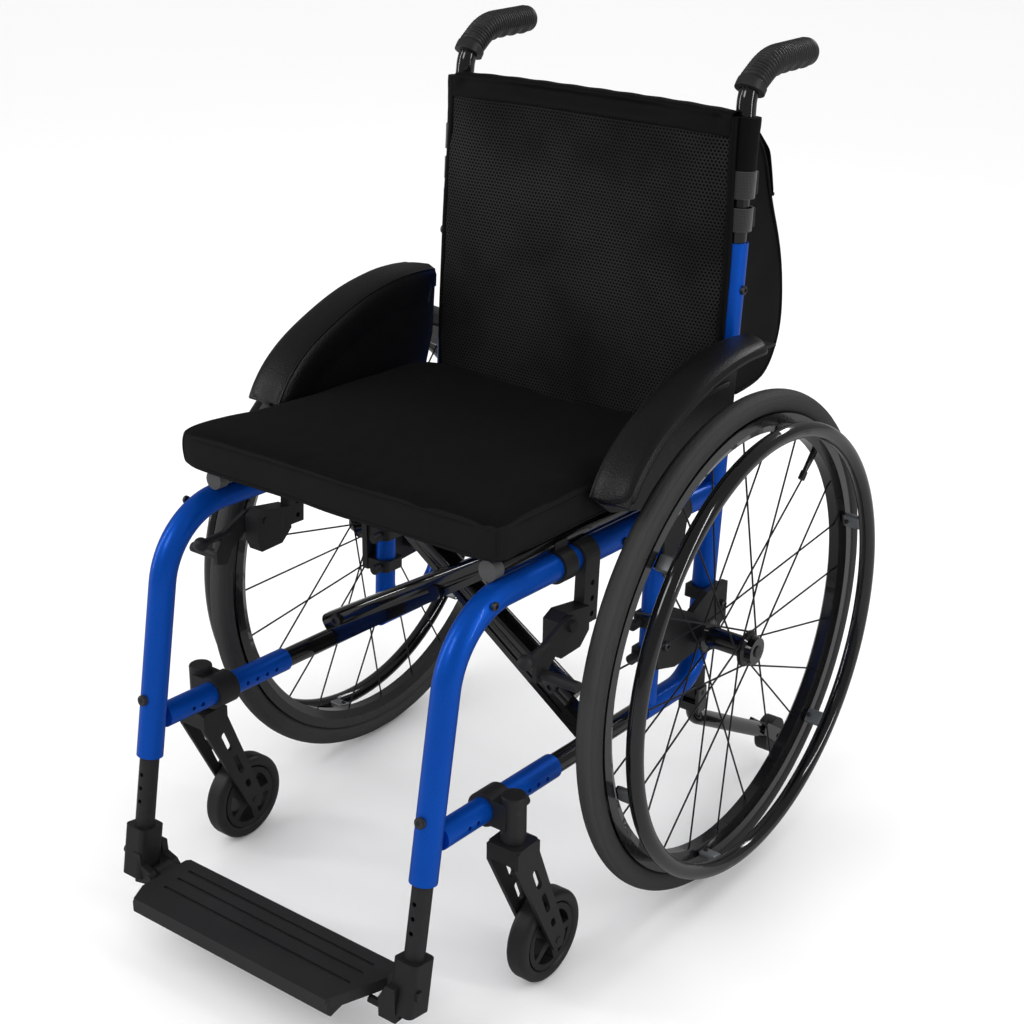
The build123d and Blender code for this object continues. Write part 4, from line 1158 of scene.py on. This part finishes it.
def make_brace():
    """Rounded tubes over the cross brace's arms, with bolt heads, and caps on the seat rails."""
    seat_x, low_z = 0.190, 0.247
    forward = Vector((0, -1, 0))
    for letter, s, front in (("a", 1, -0.084), ("b", -1, -0.056)):
        low = Vector((-s * SIDE_X, front + 0.012, low_z - RAIL_DROP * (front + 0.012)))
        high = Vector((s * seat_x, front + 0.012 + 0.013, rail_top(front + 0.025) + 0.0245))
        way = (high - low).normalized()
        across = way.cross(forward).normalized()
        length = (high - low).length
        start, run, deep, tall = 0.034, length - 0.062, 0.0268, 0.0226
        tube = block(f"brace_tube_{letter}", (0, 0, 0), (1, 1, 1))
        shape(tube, lambda p: Vector((start + run * p.x, (p.y - 0.5) * deep, (p.z - 0.5) * tall)))
        outward(tube, 0.000001)
        start_edit(tube, "EDGE")
        pick(tube, lambda c, w: abs(w.normalized().x) > 0.9, "EDGE")
        bpy.ops.mesh.bevel(offset=0.0085, segments=6, affect="EDGES")
        end_edit()
        frame_of = Matrix((way, forward * -1, across)).transposed()
        shape(tube, lambda p: low + frame_of @ p)
        outward(tube, 0.000001)
        dress(tube, f"brace_{letter}", "gloss_black", 40)
        for n, share in enumerate((0.13, 0.77)):
            at = low + way * length * share + forward * deep / 2
            head = bolt(f"brace_bolt_{letter}_{n + 1}", at, forward, 0.0075, 0.004)
            dress(head, f"brace_{letter}", "dark_steel")
    for side, s in SIDES:
        rail_end = -0.2175
        line = [(s * seat_x, y, rail_top(y) + 0.0245) for y in (rail_end - d for d in (0.0, 0.004, 0.009, 0.012, 0.0135))]
        cap = rod(f"seat_rail_cap_{side}", line, 0.0112, sides=6)
        # each seat rail, with its cap, rides the brace arm that carries it
        dress(cap, {"left": "brace_a", "right": "brace_b"}[side], "rail_cap", 50)


# -------------------------------------------------------------------------- stage
def make_stage():
    sizes = bpy.context.scene.chair_stage
    clear()
    bpy.ops.mesh.primitive_plane_add(size=24, location=(0, 0, 0))
    floor = named("floor")
    floor.data.materials.append(bpy.data.materials["floor"])

    world = bpy.data.worlds.new("room")
    world.use_nodes = True
    room = world.node_tree.nodes["Background"]
    room.inputs[0].default_value = (1, 1, 1, 1)
    # reflections see a dimmer room than the floor does, so the lamps draw the highlights
    path = world.node_tree.nodes.new("ShaderNodeLightPath")
    level = world.node_tree.nodes.new("ShaderNodeMapRange")
    level.inputs["To Min"].default_value = sizes.sky
    level.inputs["To Max"].default_value = sizes.reflected
    world.node_tree.links.new(path.outputs["Is Glossy Ray"], level.inputs["Value"])
    world.node_tree.links.new(level.outputs["Result"], room.inputs[1])
    bpy.context.scene.world = world

    def lamp(name, at, target, size, power, tall=None):
        clear()
        bpy.ops.object.light_add(type="AREA", location=at)
        light = bpy.context.object
        light.name = name
        light.data.shape = "RECTANGLE"
        light.data.size, light.data.size_y = size, tall or size
        light.data.energy = power
        light.rotation_euler = (Vector(target) - Vector(at)).to_track_quat("-Z", "Y").to_euler()
    lamp("key", (-0.5, -2.6, 2.6), (0, 0, 0.45), 1.0, sizes.key)
    lamp("side_left", (-2.4, -1.4, 1.4), (0, 0, 0.5), 0.14, sizes.fill, 2.2)
    lamp("side_right", (2.6, 0.3, 1.6), (0, 0, 0.5), 0.14, sizes.fill, 2.2)
    lamp("back_rim", (0.4, 2.6, 2.0), (0, 0, 0.6), 1.4, sizes.fill, 0.3)

    azimuth, tilt, roll = radians(36.9195), radians(23.4415), radians(0.5775)
    back = Vector((sin(azimuth) * cos(tilt), -cos(azimuth) * cos(tilt), sin(tilt)))
    right = Vector((cos(azimuth), sin(azimuth), 0))
    up = back.cross(right)
    right, up = right * cos(roll) + up * sin(roll), up * cos(roll) - right * sin(roll)
    clear()
    bpy.ops.object.camera_add(location=(1.1643, -1.5019, 1.2543))
    camera = bpy.context.object
    camera.rotation_euler = Matrix((right, up, back)).transposed().to_euler()
    camera.data.lens, camera.data.sensor_width = 63.29, 36
    camera.data.shift_x, camera.data.shift_y = 0.00828, 0.00244
    camera.data.clip_end = 60
    bpy.context.scene.camera = camera
    bpy.context.scene.view_settings.view_transform = "Standard"


# ------------------------------------------------------------------- the finishes
FINISH_NODES = {
    "frame_paint": "front_tube rear_loop front_upright lower_rail",
    "moulded_black": "saddle_front saddle_rear caster_hub footrest_bracket",
    "gloss_black": "back_cane rear_hub handrim seat_rail brace_arm_a brace_arm_b anti_tip_tube",
    "guard_skin": "side_guard",
    "satin_metal": "axle_plate caster_housing caster_fork brake_body brake_lever footrest_tube anti_tip_socket",
    "rim_black": "rear_rim",
    "dark_steel": "axle_button",
    "spoke_black": "rear_spokes",
    "caster_rubber": "caster_tyre anti_tip_wheel",
    "plate_skin": "footplate",
}
NODE_FINISH = {node: finish for finish, nodes in FINISH_NODES.items() for node in nodes.split()}


def make_finishes():
    cloth = bpy.context.scene.chair_cloth
    blue_paint()
    gloss_black()
    gloss_black("rim_black", (0.005, 0.005, 0.0053), 0.22)
    satin_metal()
    moulded("moulded_black", (0.010, 0.010, 0.0102), 0.42, 1400, 0.25)
    moulded("guard_skin", (0.0035, 0.0035, 0.0037), 0.36, 620, 0.55)
    moulded("rail_cap", (0.06, 0.06, 0.061), 0.45, 900, 0.2)
    moulded("plate_skin", (0.016, 0.016, 0.016), 0.46, 900, 0.4)
    grip_rubber()
    for side, s in SIDES:
        tyre_rubber(f"tyre_rubber_{side}", (s * AXLE.x, AXLE.y, AXLE.z), 0.2955)
    moulded("caster_rubber", (0.012, 0.012, 0.012), 0.38, 1200, 0.15)
    bare_steel("spoke_black", (0.045, 0.045, 0.048), 0.28)
    bare_steel("dark_steel", (0.10, 0.10, 0.105), 0.32)
    bare_steel("grey_plate", (0.33, 0.35, 0.36), 0.42)
    # the cushion cloth gets painted shade on its upward faces, their colour scaled to 0.35
    woven("cushion_cloth", tuple(cloth.black), 0.0011, 0.86, sheen=0.01, painted_top_shade=0.35)
    woven("nylon_cloth", (0.002, 0.002, 0.0021), 0.0009, 0.52, sheen=0.01, bump=0.25)
    spacer_mesh()
    webbing()
    stage_floor()
    for name, node in NODES.items():
        base = name.rsplit("_", 1)[0] if name.endswith(("_left", "_right")) else name
        finish = NODE_FINISH.get(base)
        if finish:
            node.data.materials.clear()
            node.data.materials.append(bpy.data.materials[finish])


# --------------------------------------------------------------------- operators
def operator(name, label, text, make):
    """An operator class that runs one of the functions above."""
    def execute(self, context):
        make()
        return {"FINISHED"}
    members = {"__doc__": text, "bl_idname": f"chair.{name}", "bl_label": label, "execute": execute}
    return type(f"CHAIR_OT_{name}", (bpy.types.Operator,), members)


OPERATORS = tuple(operator(*row) for row in (
    ("finishes", "Finishes", "Make every finish and give it to the frame's parts", make_finishes),
    ("stage", "Stage", "Lay the floor and set the light and the camera", make_stage),
    ("cushion", "Seat cushion", "Sew and fill the seat cushion", make_cushion),
    ("sling", "Seat cloth", "Stretch the seat cloth between its rails", make_sling),
    ("back", "Back upholstery", "Make the back upholstery, its top roll and bound edges", make_back),
    ("straps", "Cane straps", "Put the webbing straps and buckles round the canes", make_straps),
    ("pocket", "Rear bag", "Hang the bag with its flap behind the back", make_pocket),
    ("grips", "Push grips", "Mould the ribbed push grips", make_grips),
    ("tyres", "Rear tyres", "Spin the rear tyres", make_tyres),
    ("wheel_fittings", "Wheel fittings", "Fit sleeves, valve caps and screws to the rear wheels", make_wheel_fittings),
    ("guards", "Side guards", "Mould the side guards' rolled flanges and ribs", make_guards),
    ("fittings", "Frame fittings", "Put the screw heads on the frame", make_fittings),
    ("brace", "Cross brace", "Round off the cross brace and cap the seat rails", make_brace),
))


class CHAIR_PT_panel(bpy.types.Panel):
    """Lists the wheelchair's operators and sizes"""
    bl_idname = "CHAIR_PT_panel"
    bl_label = "Manual wheelchair"
    bl_space_type = "VIEW_3D"
    bl_region_type = "UI"
    bl_category = "Wheelchair"

    def draw(self, context):
        for group in GROUPS:
            settings = getattr(context.scene, group)
            for name in settings.bl_rna.properties.keys():
                if name not in ("rna_type", "name"):
                    self.layout.prop(settings, name)
        for operator in OPERATORS:
            self.layout.operator(operator.bl_idname)


GROUPS = {"chair_cloth": ClothSettings, "chair_tubes": TubeSettings, "chair_grips": GripSettings,
          "chair_tyres": TyreSettings, "chair_stage": StageSettings}


def register():
    for made in (*GROUPS.values(), *OPERATORS, CHAIR_PT_panel):
        bpy.utils.register_class(made)
    for name, group in GROUPS.items():
        setattr(bpy.types.Scene, name, PointerProperty(type=group))


def unregister():
    for name in GROUPS:
        delattr(bpy.types.Scene, name)
    for made in reversed((*GROUPS.values(), *OPERATORS, CHAIR_PT_panel)):
        bpy.utils.unregister_class(made)


def main():
    register()
    for operator in OPERATORS:
        getattr(bpy.ops.chair, operator.bl_idname.split(".")[1])()


if __name__ == "__main__":
    main()
